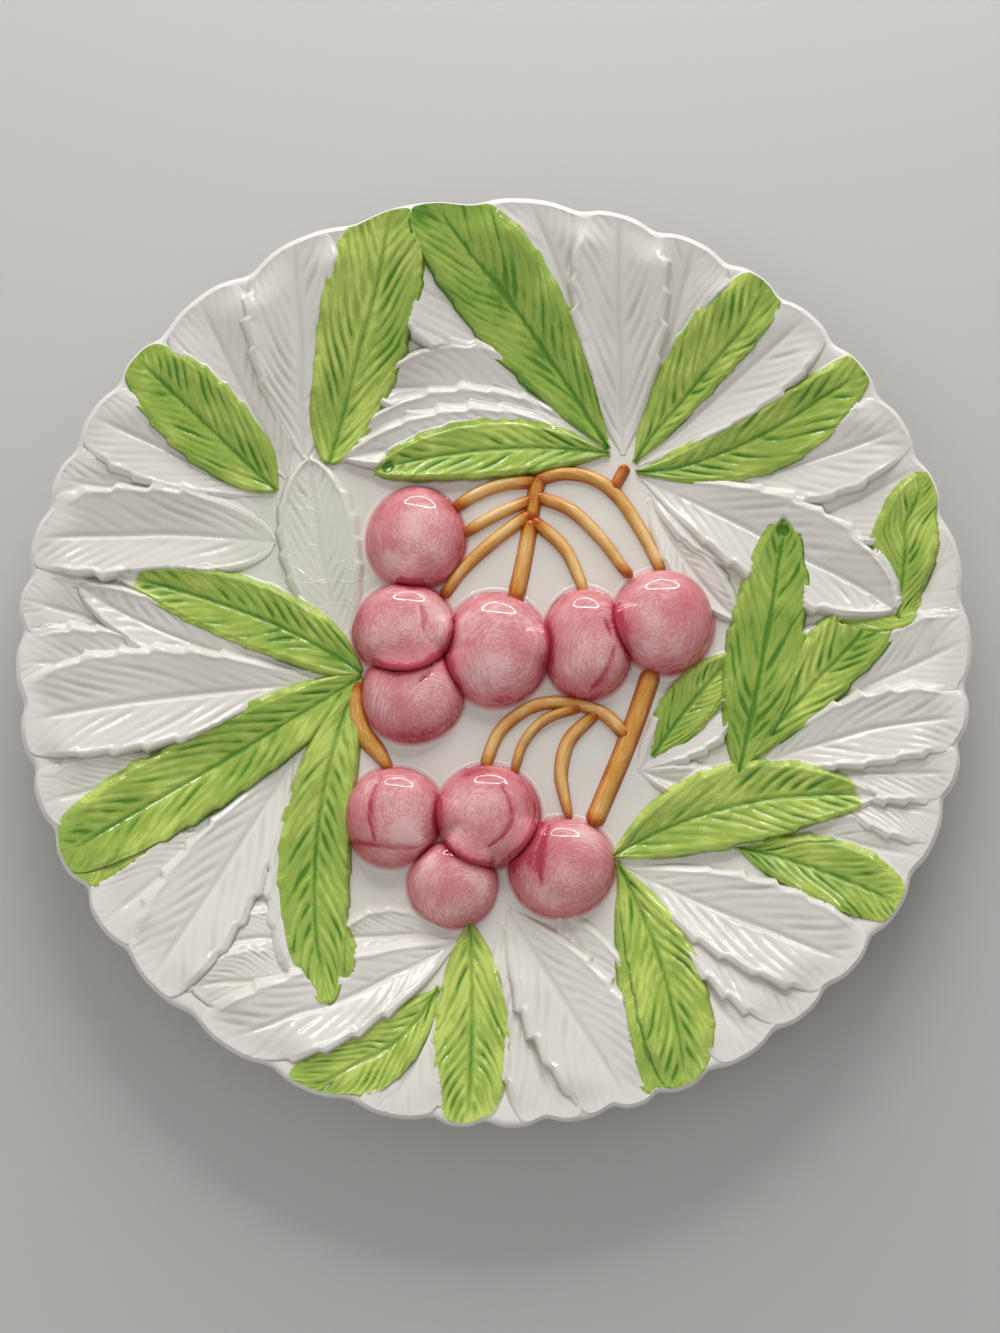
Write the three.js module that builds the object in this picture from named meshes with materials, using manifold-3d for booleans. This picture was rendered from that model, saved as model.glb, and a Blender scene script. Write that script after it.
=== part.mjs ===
// Decorative relief plate in glazed earthenware.
// A dished round body with a scalloped rim carries a border of overlapping leaves,
// ten berries and three groups of stems, all applied to its upper face in relief.
// Millimetres, +Z up. The plate lies face up, and the origin is the centre of the
// foot ring's underside. Bearings are degrees from +X, turning towards +Y.

import * as THREE from 'three';
import { mergeVertices } from 'three/addons/utils/BufferGeometryUtils.js';
import Module from 'manifold-3d';

const wasm = await Module();
wasm.setup();

// Body
const RIM_RADIUS = 150; // axis to the crest of a scallop
const SCALLOP_DEPTH = 2.6; // crest to notch
const WELL_RADIUS = 80; // flat floor inside the border
const COVE_LENGTH = 17; // how far the floor curves before the border runs straight
const BODY_WALL = 5; // thickness of the floor and the border
const RIM_RISE = 17; // floor to rim, on the upper face
const RIM_ROUND = 1.6; // rounding of the lip
const FOOT_RADIUS = 82; // outside of the foot ring
const FOOT_WIDTH = 8;
const FOOT_HEIGHT = 5;

// Relief
const SEAT_GAP = 0.3; // slip joint between neighbouring pieces
const WHITE_LIFT = 2; // rib of a white leaf above the body
const GREEN_LIFT = 2.8; // rib of a green leaf above the body
const LEAF_FOLD = 1.3; // edges of a leaf above its rib
const LEAVES_ROUND = 47; // middling leaves that would fill the rim side by side
const LEAF_WIDTH = (2 * Math.PI * RIM_RADIUS) / LEAVES_ROUND; // a middling leaf at its widest
const LEAF_END = 2.4; // width of a leaf where it starts and stops
const RIM_SINK_LENGTH = 16; // leaves flatten over this length towards the rim
const RIM_SINK_SHARE = 0.5; // share of the relief left at the rim
const BERRY_RADIUS = 15; // a middling berry
const BERRY_HEIGHT = 10.5;
const STEM_WIDTH = 4.2;
const STEM_HEIGHT = 3;

// Facets
const FACETS_PER_SCALLOP = 3;
const UNDERSIDE_STATIONS = [0.2, 0.45, 0.72, 1]; // shares of the way from the foot ring to the lip
const BORDER_STATIONS = [1, 0.75, 0.5, 0.32, 0.18, 0.07, 0]; // shares of the way from the well to the lip
const BERRY_SIDES = 18;
const BERRY_RINGS = 4;
const STEM_STEPS = 9;
const STEM_FACETS = 5;
const LEAF_STATIONS = [0, 0.05, 0.16, 0.32, 0.5, 0.68, 0.84, 0.95, 1]; // shares of a leaf's length

// Powers that shape an outline
const SCALLOP_SHARPNESS = 3;
const BLUNT = 0.5;
const POINTED = 0.8;

// Bearings of the notches between the scallops of the rim
const NOTCHES = [
  5, 16, 24, 33, 42, 51, 59, 69, 79, 93, 108, 123, 137, 145, 155, 163, 172, 179, 188, 196, 204, 212, 221, 232,
  243, 253, 263, 269, 276, 284, 291, 305, 313, 321, 330, 340, 347, 354,
];

// A leaf runs from its narrow end to its tip, each given as a bearing and a ring: 0 is the axis, 1 the edge
// of the well and 2 the rim. Its width, and its bow to the left of that run, are in middling leaf widths.
// Belly is the share of the length where the leaf is widest.
function leaf(name, from, to, width, bow, belly, tip = POINTED) {
  return { name, from, to, width, bow, belly, tip };
}

// Leaves, from the uppermost to the lowest
const LEAVES = [
  leaf('green_leaf_right_tall', [332.5, 1.1], [24, 1.31], 1.1, -0.05, 0.52),
  leaf('green_leaf_right_lower', [300, 0.96], [335, 1.6], 1.15, 0.375, 0.5),
  leaf('green_leaf_left_upright', [195, 0.66], [245, 1.63], 0.95, -0.3, 0.52),
  leaf('green_leaf_right_upper', [52, 0.95], [36, 1.94], 0.95, -0.4, 0.62, BLUNT),
  leaf('green_leaf_top_right', [54, 0.98], [54, 1.94], 0.95, 0.15, 0.74, BLUNT),
  leaf('green_leaf_above_stems', [60.5, 0.95], [122, 0.88], 0.85, -0.2, 0.5),
  leaf('green_leaf_top', [60.5, 0.95], [99, 1.96], 1.3, -0.125, 0.62),
  leaf('green_leaf_top_left', [130.5, 1.04], [103.5, 1.96], 1.25, 0, 0.66, BLUNT),
  leaf('green_leaf_left_upper', [143, 1.13], [141, 1.96], 1.2, 0, 0.55, BLUNT),
  leaf('green_leaf_left_middle', [187, 0.56], [170, 1.51], 0.95, -0.25, 0.5),
  leaf('green_leaf_left_lower', [193, 0.59], [207, 1.96], 1.125, -0.05, 0.6, BLUNT),
  leaf('green_leaf_bottom', [265, 1.09], [266.5, 1.97], 0.975, 0.05, 0.62, BLUNT),
  leaf('green_leaf_bottom_right', [299.5, 0.98], [292, 1.96], 1.025, 0.2, 0.66, BLUNT),
  leaf('green_leaf_right_outer', [320, 1.27], [325.5, 1.96], 0.925, 0.1, 0.66, BLUNT),
  leaf('green_leaf_right_inner', [326, 0.76], [359, 0.96], 0.7, 0.05, 0.5),
  leaf('green_leaf_right_tip', [4, 1.69], [21, 1.95], 0.825, 0.075, 0.5),
  leaf('green_leaf_right_fold', [3, 1.36], [5, 1.79], 0.3, -0.1, 0.6),
  leaf('green_leaf_right_slanted', [335, 1.13], [3, 1.56], 0.9, 0, 0.72, BLUNT),
  leaf('white_leaf_bottom_left', [264, 1.17], [233.5, 1.97], 1.2, 0, 0.55, BLUNT),
  leaf('green_leaf_bottom_left', [261, 1.41], [245.5, 1.96], 0.65, 0.25, 0.58),
  leaf('white_leaf_beside_well', [177, 0.68], [132, 1.09], 1.35, 0.25, 0.55),
  leaf('white_leaf_left', [153, 1.03], [168, 1.97], 1.25, -0.15, 0.5, BLUNT),
  leaf('white_leaf_left_low', [191, 0.7], [190.5, 1.97], 1.4, -0.15, 0.66, BLUNT),
  leaf('white_leaf_left_under', [186, 0.69], [172, 1.77], 0.8, 0.25, 0.6),
  leaf('white_leaf_lower_left', [209, 0.91], [228, 1.97], 1.5, 0, 0.66, BLUNT),
  leaf('white_leaf_right_bent', [46.5, 0.95], [5, 1.66], 1.25, 0.25, 0.56),
  leaf('white_leaf_right_narrow', [46.5, 0.92], [19, 1.09], 0.5, -0.05, 0.55),
  leaf('white_leaf_right_short', [45, 0.89], [7.5, 0.98], 0.6, -0.1, 0.6),
  leaf('white_leaf_right_upper', [49, 0.96], [27.5, 1.97], 1.2, -0.25, 0.66, BLUNT),
  leaf('white_leaf_top_right', [53, 0.98], [47, 1.97], 1.15, 0, 0.72, BLUNT),
  leaf('white_leaf_top', [57.5, 0.98], [74.5, 1.97], 1.3, 0, 0.66, BLUNT),
  leaf('white_leaf_top_middle', [63, 1.01], [86.5, 1.97], 1.35, -0.2, 0.66, BLUNT),
  leaf('white_leaf_top_left', [134, 1.13], [116, 1.97], 1.35, 0, 0.66, BLUNT),
  leaf('white_leaf_left_top', [139.5, 1.13], [130, 1.97], 1.25, 0, 0.66, BLUNT),
  leaf('white_leaf_fan_low', [62, 0.96], [129, 1], 0.9, -0.2, 0.5),
  leaf('white_leaf_fan_middle', [62, 0.99], [118, 1.11], 1, -0.25, 0.5),
  leaf('white_leaf_fan_high', [65, 1.03], [110, 1.3], 1.2, -0.3, 0.52),
  leaf('white_leaf_right_low', [336, 1.17], [350.5, 1.97], 0.95, 0.15, 0.55, BLUNT),
  leaf('white_leaf_right', [347.5, 1.31], [1, 1.97], 1.1, 0, 0.6, BLUNT),
  leaf('white_leaf_right_lower', [337, 1.33], [343.5, 1.97], 0.75, 0, 0.6, BLUNT),
  leaf('white_leaf_lower_right', [301, 1.03], [317.5, 1.97], 1.2, -0.05, 0.62, BLUNT),
  leaf('white_leaf_lower_right_second', [302, 1.14], [310, 1.97], 1, 0, 0.66, BLUNT),
  leaf('white_leaf_lower_right_third', [300.5, 1.09], [301.5, 1.97], 1.1, 0, 0.66, BLUNT),
  leaf('white_leaf_bottom_right', [273, 1.04], [287, 1.97], 1.25, 0, 0.6, BLUNT),
  leaf('white_leaf_bottom', [271.5, 1.11], [277, 1.97], 0.9, 0, 0.66, BLUNT),
  leaf('white_leaf_bottom_second', [261.5, 1.47], [258.5, 1.97], 1, 0, 0.6, BLUNT),
];

// Berries, from the uppermost to the lowest: the centre in well radii, and half widths in middling berries
const BERRIES = [
  { name: 'berry_top_left', at: [-0.33, 0.46], half: [1, 1.13] },
  { name: 'berry_left', at: [-0.36, 0.08], half: [1.03, 1] },
  { name: 'berry_centre', at: [0.01, -0.005], half: [1.07, 1.23] },
  { name: 'berry_right', at: [0.675, 0.11], half: [1.03, 1.1] },
  { name: 'berry_right_inner', at: [0.37, 0.02], half: [0.9, 1.17] },
  { name: 'berry_lower_middle', at: [-0.025, -0.67], half: [1.03, 1.07] },
  { name: 'berry_lower_left', at: [-0.395, -0.675], half: [0.97, 1] },
  { name: 'berry_lower_right', at: [0.26, -0.87], half: [1.07, 1] },
  { name: 'berry_left_behind', at: [-0.325, -0.16], half: [1.03, 1] },
  { name: 'berry_lower_behind', at: [-0.17, -0.94], half: [0.87, 0.83] },
];

// Stem groups: each stem is a smooth run through points on the floor of the well, in well radii
const STEM_GROUPS = [
  {
    name: 'stem_spray_upper',
    runs: [
      [[0.175, 0.725], [0.16, 0.65], [0.15, 0.54]],
      [[0.175, 0.71], [0.04, 0.7], [-0.075, 0.65], [-0.15, 0.59]],
      [[0.16, 0.635], [0.025, 0.575], [-0.1, 0.495]],
      [[0.15, 0.575], [0, 0.46], [-0.125, 0.34], [-0.21, 0.22]],
      [[0.15, 0.55], [0.12, 0.375], [0.08, 0.19]],
      [[0.15, 0.55], [0.275, 0.44], [0.34, 0.31], [0.37, 0.205]],
      [[0.16, 0.65], [0.31, 0.59], [0.44, 0.46], [0.51, 0.36], [0.55, 0.31]],
      [[0.16, 0.71], [0.275, 0.745], [0.4, 0.725], [0.5, 0.65], [0.59, 0.51], [0.65, 0.39], [0.675, 0.325]],
      [[0.475, 0.66], [0.51, 0.775]],
    ],
  },
  {
    name: 'stem_spray_lower',
    runs: [
      [[0.62, -0.075], [0.56, -0.275], [0.51, -0.44], [0.39, -0.71]],
      [[0.54, -0.36], [0.44, -0.26], [0.34, -0.22], [0.225, -0.21], [0.125, -0.24], [0.025, -0.325],
        [-0.025, -0.44], [-0.025, -0.49]],
      [[0.35, -0.225], [0.21, -0.275], [0.125, -0.36], [0.09, -0.45], [0.08, -0.51]],
      [[0.41, -0.25], [0.3, -0.36], [0.26, -0.49], [0.275, -0.6], [0.295, -0.69]],
    ],
  },
  {
    name: 'stem_left',
    runs: [[[-0.54, -0.125], [-0.55, -0.225], [-0.525, -0.325], [-0.46, -0.41], [-0.405, -0.49]]],
  },
];

const WHITE_GLAZE = new THREE.MeshStandardMaterial({ color: 0xe2dfd8, roughness: 0.2, metalness: 0 });
const GREEN_GLAZE = new THREE.MeshStandardMaterial({ color: 0x8fae48, roughness: 0.25, metalness: 0 });
const PINK_GLAZE = new THREE.MeshStandardMaterial({ color: 0xcf8088, roughness: 0.2, metalness: 0 });
const TAN_GLAZE = new THREE.MeshStandardMaterial({ color: 0xd39a4e, roughness: 0.25, metalness: 0 });

const FLOOR_HEIGHT = FOOT_HEIGHT + BODY_WALL;
const CUT_REACH = FLOOR_HEIGHT + RIM_RISE + BERRY_HEIGHT + RIM_RADIUS;
const radians = THREE.MathUtils.degToRad;

// A place given as a bearing and a ring.
function ringPoint([bearing, ring]) {
  const onFloor = Math.min(ring, 1) * WELL_RADIUS;
  const onBorder = Math.max(ring - 1, 0) * (RIM_RADIUS - WELL_RADIUS);
  return new THREE.Vector2(onFloor + onBorder, 0).rotateAround(new THREE.Vector2(), radians(bearing));
}

// Height of the body's upper face: a flat floor, a cove, then a straight border.
function bodyTop(radius) {
  const out = Math.max(0, radius - WELL_RADIUS);
  const border = RIM_RADIUS - WELL_RADIUS;
  const climb = Math.hypot(out, COVE_LENGTH) - COVE_LENGTH;
  return FLOOR_HEIGHT + (RIM_RISE * climb) / (Math.hypot(border, COVE_LENGTH) - COVE_LENGTH);
}

// A closed geometry as a solid for joins and cuts.
function toSolid(geometry) {
  geometry.deleteAttribute('normal');
  geometry.deleteAttribute('uv');
  const merged = mergeVertices(geometry, 1e-4);
  const vertProperties = new Float32Array(merged.attributes.position.array);
  const triVerts = new Uint32Array(merged.index.array);
  return new wasm.Manifold(new wasm.Mesh({ numProp: 3, vertProperties, triVerts }));
}

function toGeometry(solid) {
  const mesh = solid.getMesh();
  const geometry = new THREE.BufferGeometry();
  geometry.setAttribute('position', new THREE.BufferAttribute(mesh.vertProperties, 3));
  geometry.setIndex(new THREE.BufferAttribute(mesh.triVerts, 1));
  geometry.computeVertexNormals();
  return geometry;
}

// What is left of a solid after the pieces above it are cut away, as its one largest body.
function cutBy(solid, cutters) {
  let rest = solid;
  for (const cutter of cutters) rest = rest.subtract(cutter);
  const bodies = rest.decompose();
  bodies.sort((a, b) => b.volume() - a.volume());
  return bodies[0];
}

// Moves every vertex of a geometry: place receives its coordinates and its index.
function reshape(geometry, place) {
  const position = geometry.attributes.position;
  for (let i = 0; i < position.count; i += 1) {
    const moved = place(position.getX(i), position.getY(i), position.getZ(i), i);
    position.setXYZ(i, ...moved);
  }
  return geometry;
}

// The body is a lathe whose rim is drawn in at the notches, on an unchanged upper face.
function plateBody() {
  const footInside = FOOT_RADIUS - FOOT_WIDTH;
  const under = (radius) => bodyTop(radius) - BODY_WALL;
  const between = (from, to, share) => from + (to - from) * share;
  const lipInside = RIM_RADIUS - RIM_ROUND;
  const profile = [
    [0, FOOT_HEIGHT],
    [footInside, FOOT_HEIGHT],
    [footInside, 0],
    [FOOT_RADIUS, 0],
    [FOOT_RADIUS, under(FOOT_RADIUS)],
  ];
  for (const share of UNDERSIDE_STATIONS) {
    const radius = between(FOOT_RADIUS, lipInside, share);
    profile.push([radius, under(radius)]);
  }
  profile.push([RIM_RADIUS, under(RIM_RADIUS) + RIM_ROUND]);
  profile.push([RIM_RADIUS, bodyTop(RIM_RADIUS) - RIM_ROUND]);
  for (const share of BORDER_STATIONS) {
    const radius = between(WELL_RADIUS, lipInside, share);
    profile.push([radius, bodyTop(radius)]);
  }
  profile.push([0, FLOOR_HEIGHT]);

  const sides = NOTCHES.length * FACETS_PER_SCALLOP;
  const points = profile.map(([radius, height]) => new THREE.Vector2(radius, height));
  const lathe = new THREE.LatheGeometry(points, sides);
  return reshape(lathe, (x, y, z, index) => {
    const side = Math.floor(index / points.length) % sides;
    const { x: radius, y: height } = points[index % points.length];
    const [bearing, draw] = scallopSide(side);
    const share = THREE.MathUtils.smoothstep(radius, WELL_RADIUS, RIM_RADIUS);
    const drawn = radius - draw * share;
    const sunk = height + bodyTop(drawn) - bodyTop(radius);
    return [drawn * Math.cos(bearing), drawn * Math.sin(bearing), sunk];
  });
}

// Bearing of one side of the lathe, and how far the rim is drawn in there.
function scallopSide(side) {
  const lobe = Math.floor(side / FACETS_PER_SCALLOP);
  const start = NOTCHES[lobe];
  const end = lobe + 1 < NOTCHES.length ? NOTCHES[lobe + 1] : NOTCHES[0] + 360;
  const across = (side % FACETS_PER_SCALLOP) / FACETS_PER_SCALLOP;
  const draw = SCALLOP_DEPTH * Math.abs(2 * across - 1) ** SCALLOP_SHARPNESS;
  return [radians(start + (end - start) * across), draw];
}

// Point of a leaf's plan: along is 0 at its narrow end and 1 at its tip, across is -1 to 1.
// The outline is an arched width on both sides of a bowed rib, and grow widens it all round.
function leafPoint(leaf, along, across, grow) {
  const from = ringPoint(leaf.from);
  const run = ringPoint(leaf.to).sub(from);
  const length = run.length();
  const ahead = run.clone().normalize();
  const left = new THREE.Vector2(-ahead.y, ahead.x);
  const reach = along * (length + 2 * grow) - grow;
  const toBelly = along < leaf.belly ? 1 - along / leaf.belly : (along - leaf.belly) / (1 - leaf.belly);
  const arch = Math.max(0, 1 - toBelly ** 2) ** (along < leaf.belly ? 1 : leaf.tip);
  const halfWidth = Math.max(LEAF_END / 2, (LEAF_WIDTH / 2) * leaf.width * arch) + grow;
  const bow = LEAF_WIDTH * leaf.bow * 4 * along * (1 - along);
  const sideways = bow + across * halfWidth;
  return from.addScaledVector(ahead, reach).addScaledVector(left, sideways);
}

// A deformed box of stations along the leaf, with one row of points on its rib and one on each edge.
function leafShape(leaf, grow, height) {
  const last = LEAF_STATIONS.length - 1;
  const box = new THREE.BoxGeometry(1, 2, 1, last, 2, 1);
  return reshape(box, (x, y, z) => {
    const along = LEAF_STATIONS[Math.round((x + 0.5) * last)];
    const plan = leafPoint(leaf, along, y, grow);
    return [plan.x, plan.y, height(plan.length(), Math.abs(y), z > 0)];
  });
}

// A leaf follows the body at the slip joint below, and is folded up along its rib above.
function leafSolid(leaf) {
  const lift = leaf.name.startsWith('green') ? GREEN_LIFT : WHITE_LIFT;
  const shape = leafShape(leaf, 0, (radius, edge, isTop) => {
    const sink = THREE.MathUtils.smoothstep(radius, RIM_RADIUS - RIM_SINK_LENGTH, RIM_RADIUS);
    const relief = (lift + LEAF_FOLD * edge) * (1 - (1 - RIM_SINK_SHARE) * sink);
    return bodyTop(radius) + SEAT_GAP + (isTop ? relief : 0);
  });
  return toSolid(shape);
}

function leafCutter(leaf) {
  return toSolid(leafShape(leaf, SEAT_GAP, (radius, edge, isTop) => (isTop ? CUT_REACH : -CUT_REACH)));
}

// A berry is a low dome on an oval: the lathe's lowest points follow the body at the slip joint.
function berrySolid(berry) {
  const profile = [new THREE.Vector2(0, 0)];
  for (let ring = 0; ring < BERRY_RINGS; ring += 1) {
    const turn = (Math.PI / 2) * (ring / BERRY_RINGS);
    profile.push(new THREE.Vector2(Math.cos(turn), Math.sin(turn)));
  }
  profile.push(new THREE.Vector2(0, 1));
  const dome = new THREE.LatheGeometry(profile, BERRY_SIDES).rotateX(Math.PI / 2);
  return toSolid(
    reshape(dome, (x, y, z) => {
      const px = WELL_RADIUS * berry.at[0] + x * BERRY_RADIUS * berry.half[0];
      const py = WELL_RADIUS * berry.at[1] + y * BERRY_RADIUS * berry.half[1];
      return [px, py, bodyTop(Math.hypot(px, py)) + SEAT_GAP + z * BERRY_HEIGHT];
    }),
  );
}

function berryCutter(berry) {
  const [halfX, halfY] = berry.half.map((half) => BERRY_RADIUS * half + SEAT_GAP);
  const [x, y] = berry.at.map((share) => WELL_RADIUS * share);
  const prism = new THREE.CylinderGeometry(1, 1, 2 * CUT_REACH, BERRY_SIDES).rotateX(Math.PI / 2);
  return toSolid(prism.scale(halfX, halfY, 1).translate(x, y, 0));
}

// One stem: a section carried along a smooth curve on the floor of the well.
function stemRun(run, section) {
  const path = new THREE.CatmullRomCurve3(
    run.map(([x, y]) => new THREE.Vector3(WELL_RADIUS * x, WELL_RADIUS * y, FLOOR_HEIGHT + SEAT_GAP)),
  );
  const shape = new THREE.Shape(section.map(([across, up]) => new THREE.Vector2(-up, across)));
  const options = { steps: STEM_STEPS, extrudePath: path, bevelEnabled: false };
  return toSolid(new THREE.ExtrudeGeometry(shape, options));
}

function joined(solids) {
  return solids.reduce((whole, solid) => whole.add(solid));
}

// Stems are half round, with their flat side down.
function stemSolid(group) {
  const arched = [];
  for (let facet = 0; facet <= STEM_FACETS; facet += 1) {
    const turn = (Math.PI * facet) / STEM_FACETS;
    arched.push([(STEM_WIDTH / 2) * Math.cos(turn), STEM_HEIGHT * Math.sin(turn)]);
  }
  return joined(group.runs.map((run) => stemRun(run, arched)));
}

function stemCutter(group) {
  const half = STEM_WIDTH / 2 + SEAT_GAP;
  const tall = [
    [-half, -CUT_REACH],
    [half, -CUT_REACH],
    [half, CUT_REACH],
    [-half, CUT_REACH],
  ];
  return joined(group.runs.map((run) => stemRun(run, tall)));
}

const plate = new THREE.Group();

function addPiece(name, geometry, material) {
  const mesh = new THREE.Mesh(geometry, material);
  mesh.name = name;
  plate.add(mesh);
}

addPiece('plate_body', toGeometry(toSolid(plateBody())), WHITE_GLAZE);

// Each piece of relief is cut clear of all those above it: berries, then stems, then leaves.
const above = [];

for (const berry of BERRIES) {
  addPiece(berry.name, toGeometry(cutBy(berrySolid(berry), above)), PINK_GLAZE);
  above.push(berryCutter(berry));
}

for (const group of STEM_GROUPS) {
  addPiece(group.name, toGeometry(cutBy(stemSolid(group), above)), TAN_GLAZE);
  above.push(stemCutter(group));
}

for (const leaf of LEAVES) {
  const glaze = leaf.name.startsWith('green') ? GREEN_GLAZE : WHITE_GLAZE;
  addPiece(leaf.name, toGeometry(cutBy(leafSolid(leaf), above)), glaze);
  above.push(leafCutter(leaf));
}

export default plate;
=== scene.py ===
"""Looks of the decorative relief plate: glazed body, leaves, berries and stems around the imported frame.

Lengths are in millimetres until a mesh is made. Bearings are degrees from +X, turning towards +Y.
"""

import math
from dataclasses import dataclass

import bpy
import numpy as np
from mathutils import Matrix, Vector


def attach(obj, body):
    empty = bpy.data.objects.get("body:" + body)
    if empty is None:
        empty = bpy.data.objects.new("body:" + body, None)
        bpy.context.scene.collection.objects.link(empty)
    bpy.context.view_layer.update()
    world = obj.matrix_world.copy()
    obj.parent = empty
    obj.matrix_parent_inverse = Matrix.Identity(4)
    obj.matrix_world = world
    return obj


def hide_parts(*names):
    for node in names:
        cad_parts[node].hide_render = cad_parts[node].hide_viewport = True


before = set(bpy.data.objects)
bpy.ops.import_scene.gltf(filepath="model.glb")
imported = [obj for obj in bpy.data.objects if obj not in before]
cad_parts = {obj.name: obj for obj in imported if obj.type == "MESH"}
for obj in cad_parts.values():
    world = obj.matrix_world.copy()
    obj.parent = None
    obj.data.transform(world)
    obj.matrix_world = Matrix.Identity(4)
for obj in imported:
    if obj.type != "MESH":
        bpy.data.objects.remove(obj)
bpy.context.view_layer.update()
random = np.random.default_rng(11)

# Body
MM = 0.001
RIM_RADIUS = 150.0
WELL_RADIUS = 80.0
COVE_LENGTH = 17.0
BODY_WALL = 5.0
RIM_RISE = 17.0
LIP_RADIUS = (1.4, 3.2)
LIP_SWEEP = 80.0
FOOT_RADIUS = 82.0
FOOT_WIDTH = 8.0
FOOT_HEIGHT = 5.0
FOOT_ROUND = 1.2
FOOT_COVE = 0.6
HUB_RADIUS = 6.0
FLOOR_HEIGHT = FOOT_HEIGHT + BODY_WALL
SCALLOP_SHARPNESS = 3.0
NOTCH_SOFTNESS = 0.3
SHALLOW_NOTCH = 1.9
DEEP_NOTCH = 3.0
NOTCH_DIP = 0.15
DIP_SPAN = (RIM_RADIUS - 16, RIM_RADIUS)
BODY_COLUMNS = 600
PROFILE_ROWS = {"floor": 12, "border": 60, "lip": 14, "under": 34, "foot": 5, "recess": 8}

# Bearings of the notches between the scallops of the rim, and those cut deeper than the rest
NOTCHES = [
    5, 16, 24, 33, 42, 51, 59, 69, 79, 93, 108, 123, 137, 145, 155, 163, 172, 179, 188, 196, 204, 212, 221,
    232, 243, 253, 263, 269, 276, 284, 289.5, 296, 305, 313, 321, 330, 340, 347, 354,
]
DEEP_NOTCHES = [123, 212]

# Outline and height of the leaves
LEAF_WIDTH = 2 * math.pi * RIM_RADIUS / 47
LEAF_END = 1.2
LEAF_SPREAD = {"green": 1.03, "white": 1.1}
LOWEST_LIFT = 0.7
LEVEL_STEP = 0.48
TOP_LEVEL = 6
LEAST_RELIEF = 0.1
BASE_RISE = {"green": 0.5, "white": 0.1}
BASE_RISE_END = 0.4
TIP_FALL = 0.25
TIP_START = 0.85
FOLD_SHARE = {"green": 0.075, "white": 0.1}
FOLD_SOFTNESS = 0.05
BURIED = 0.2
COVER_GAP = 0.35
OVERLAP_SHARE = 0.05
PILE_ALONG = (0.06, 0.97, 26)
PILE_ACROSS = (-0.9, 0.9, 9)

# Veins and midrib; a leaf of the plain length has veins at the plain pitch
VEIN_DEPTH = {"green": 0.8, "white": 0.58}
VEIN_SHARPNESS = {"green": 2.2, "white": 1.8}
VEIN_PITCH = {"green": 5.8, "white": 6.2}
PITCH_LIMITS = (0.6, 1.1)
PLAIN_LENGTH = 70.0
VEIN_LEAN = 1.45
VEIN_SWEEP = 0.6
VEIN_COUNT = 64
VEIN_STRENGTH = (0.2, 1.15)
VEIN_END = (0.75, 1.25)
VEIN_START = (0.02, 0.3)
VEIN_TAPER = 0.45
VEIN_LOSS = 0.8
VEIN_BASE = (0, 0.12)
VEIN_TIP = (0.88, 1)
VEIN_TIP_LOSS = 0.4
VEIN_SWAY = (0.4, 0.1)
VEIN_PATCHES = (0.68, 0.32)
RIB_DEPTH = {"green": 0.45, "white": 0.6}
RIB_HALF_WIDTH = 0.75
RIB_BEND = ((0, 0.35), (0.75, 1))
RIB_MARK = 0.5
DOT_RADIUS = 1.9
DOT_EDGE = (0.8, 1.2)
DOT_DEPTH = 0.6
DOT_MARK = 0.8

# Teeth and edges; a leaf of the full half width or more has teeth of full depth
TOOTH_DEPTH = {"green": 1.0, "white": 1.9}
TOOTH_STRENGTH = (0.55, 1)
TOOTH_LIMITS = (6.5, 10.5)
TEETH_ALONG = 7.5
TOOTH_PEAK = 0.84
TOOTH_CURVE = 1.4
TOOTH_REACH = 4
TOOTH_SPAN = ((0.22, 0.4), (0.74, 0.9))
FULL_HALF_WIDTH = 12
EDGE_BEAD = {"green": 0.12, "white": 0.4}
BEAD_PLACE = 0.9
BEAD_WIDTH = 0.7
ROLL_DEPTH = 0.5
ROLL_START = 0.82
SKIRT_REACH = (0.0, 0.3, 0.65, 1.0, 1.4, 1.4)
SKIRT_DROP = (0.0, 0.14, 0.5, 0.86, 1.0, 1.0)
SKIRT_STEPS = len(SKIRT_REACH) - 1
SKIRT_SPREAD = 1.15
SKIRT_LEAN = 0.45
SKIRT_BASE = 0.35
SKIRT_WIDENS = (0, 0.2)

# Leaves at the rim
RIM_REACH = 2.02
RIM_LEVEL = 0.9
RIM_RAMP = (RIM_RADIUS - 15, RIM_RADIUS - 4)
RIM_SINK = (RIM_RADIUS - 14, RIM_RADIUS - 3)
RIM_MARGIN = {"green": (1.2, 1.8), "white": (1.2, 2.8)}
RIM_SOFTNESS = 0.5
TIP_RISE = 0.15
TIP_STEP = 0.06
TIP_VEINS = 0.35

# Glaze and paint of the leaves, with the step of the skirt where pooled glaze and painted shade darken the
# lower edges most
FOOT_POOL_AND_SHADE = 0.85
FOOT_SHADE_STEP = 3
GROOVE_POOL = {"green": 1.0, "white": 0.5}
BARE_FADE = 0.1
PALE_STEPS = (0.15, 0.8)
PALE_START = (0.15, 0.35)
DOWNHILL = (-0.1, 0.5)
FOOT_SHADE_START = (0.1, 0.3)
STROKE_LENGTH = 6
STROKE_SHIFT = 7.0

# Rows, columns and back of a leaf's mesh
ROW_PITCH = 0.52
ROW_LIMITS = (64, 180)
LEAF_COLUMNS = 49
COLUMN_MIX = (0.55, 0.45)
BACK_STEP = 8

# How soon a leaf narrows towards its end
BLUNT = 0.45
POINTED = 0.8
ROUND = 0.35
BROAD = 0.27

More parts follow.
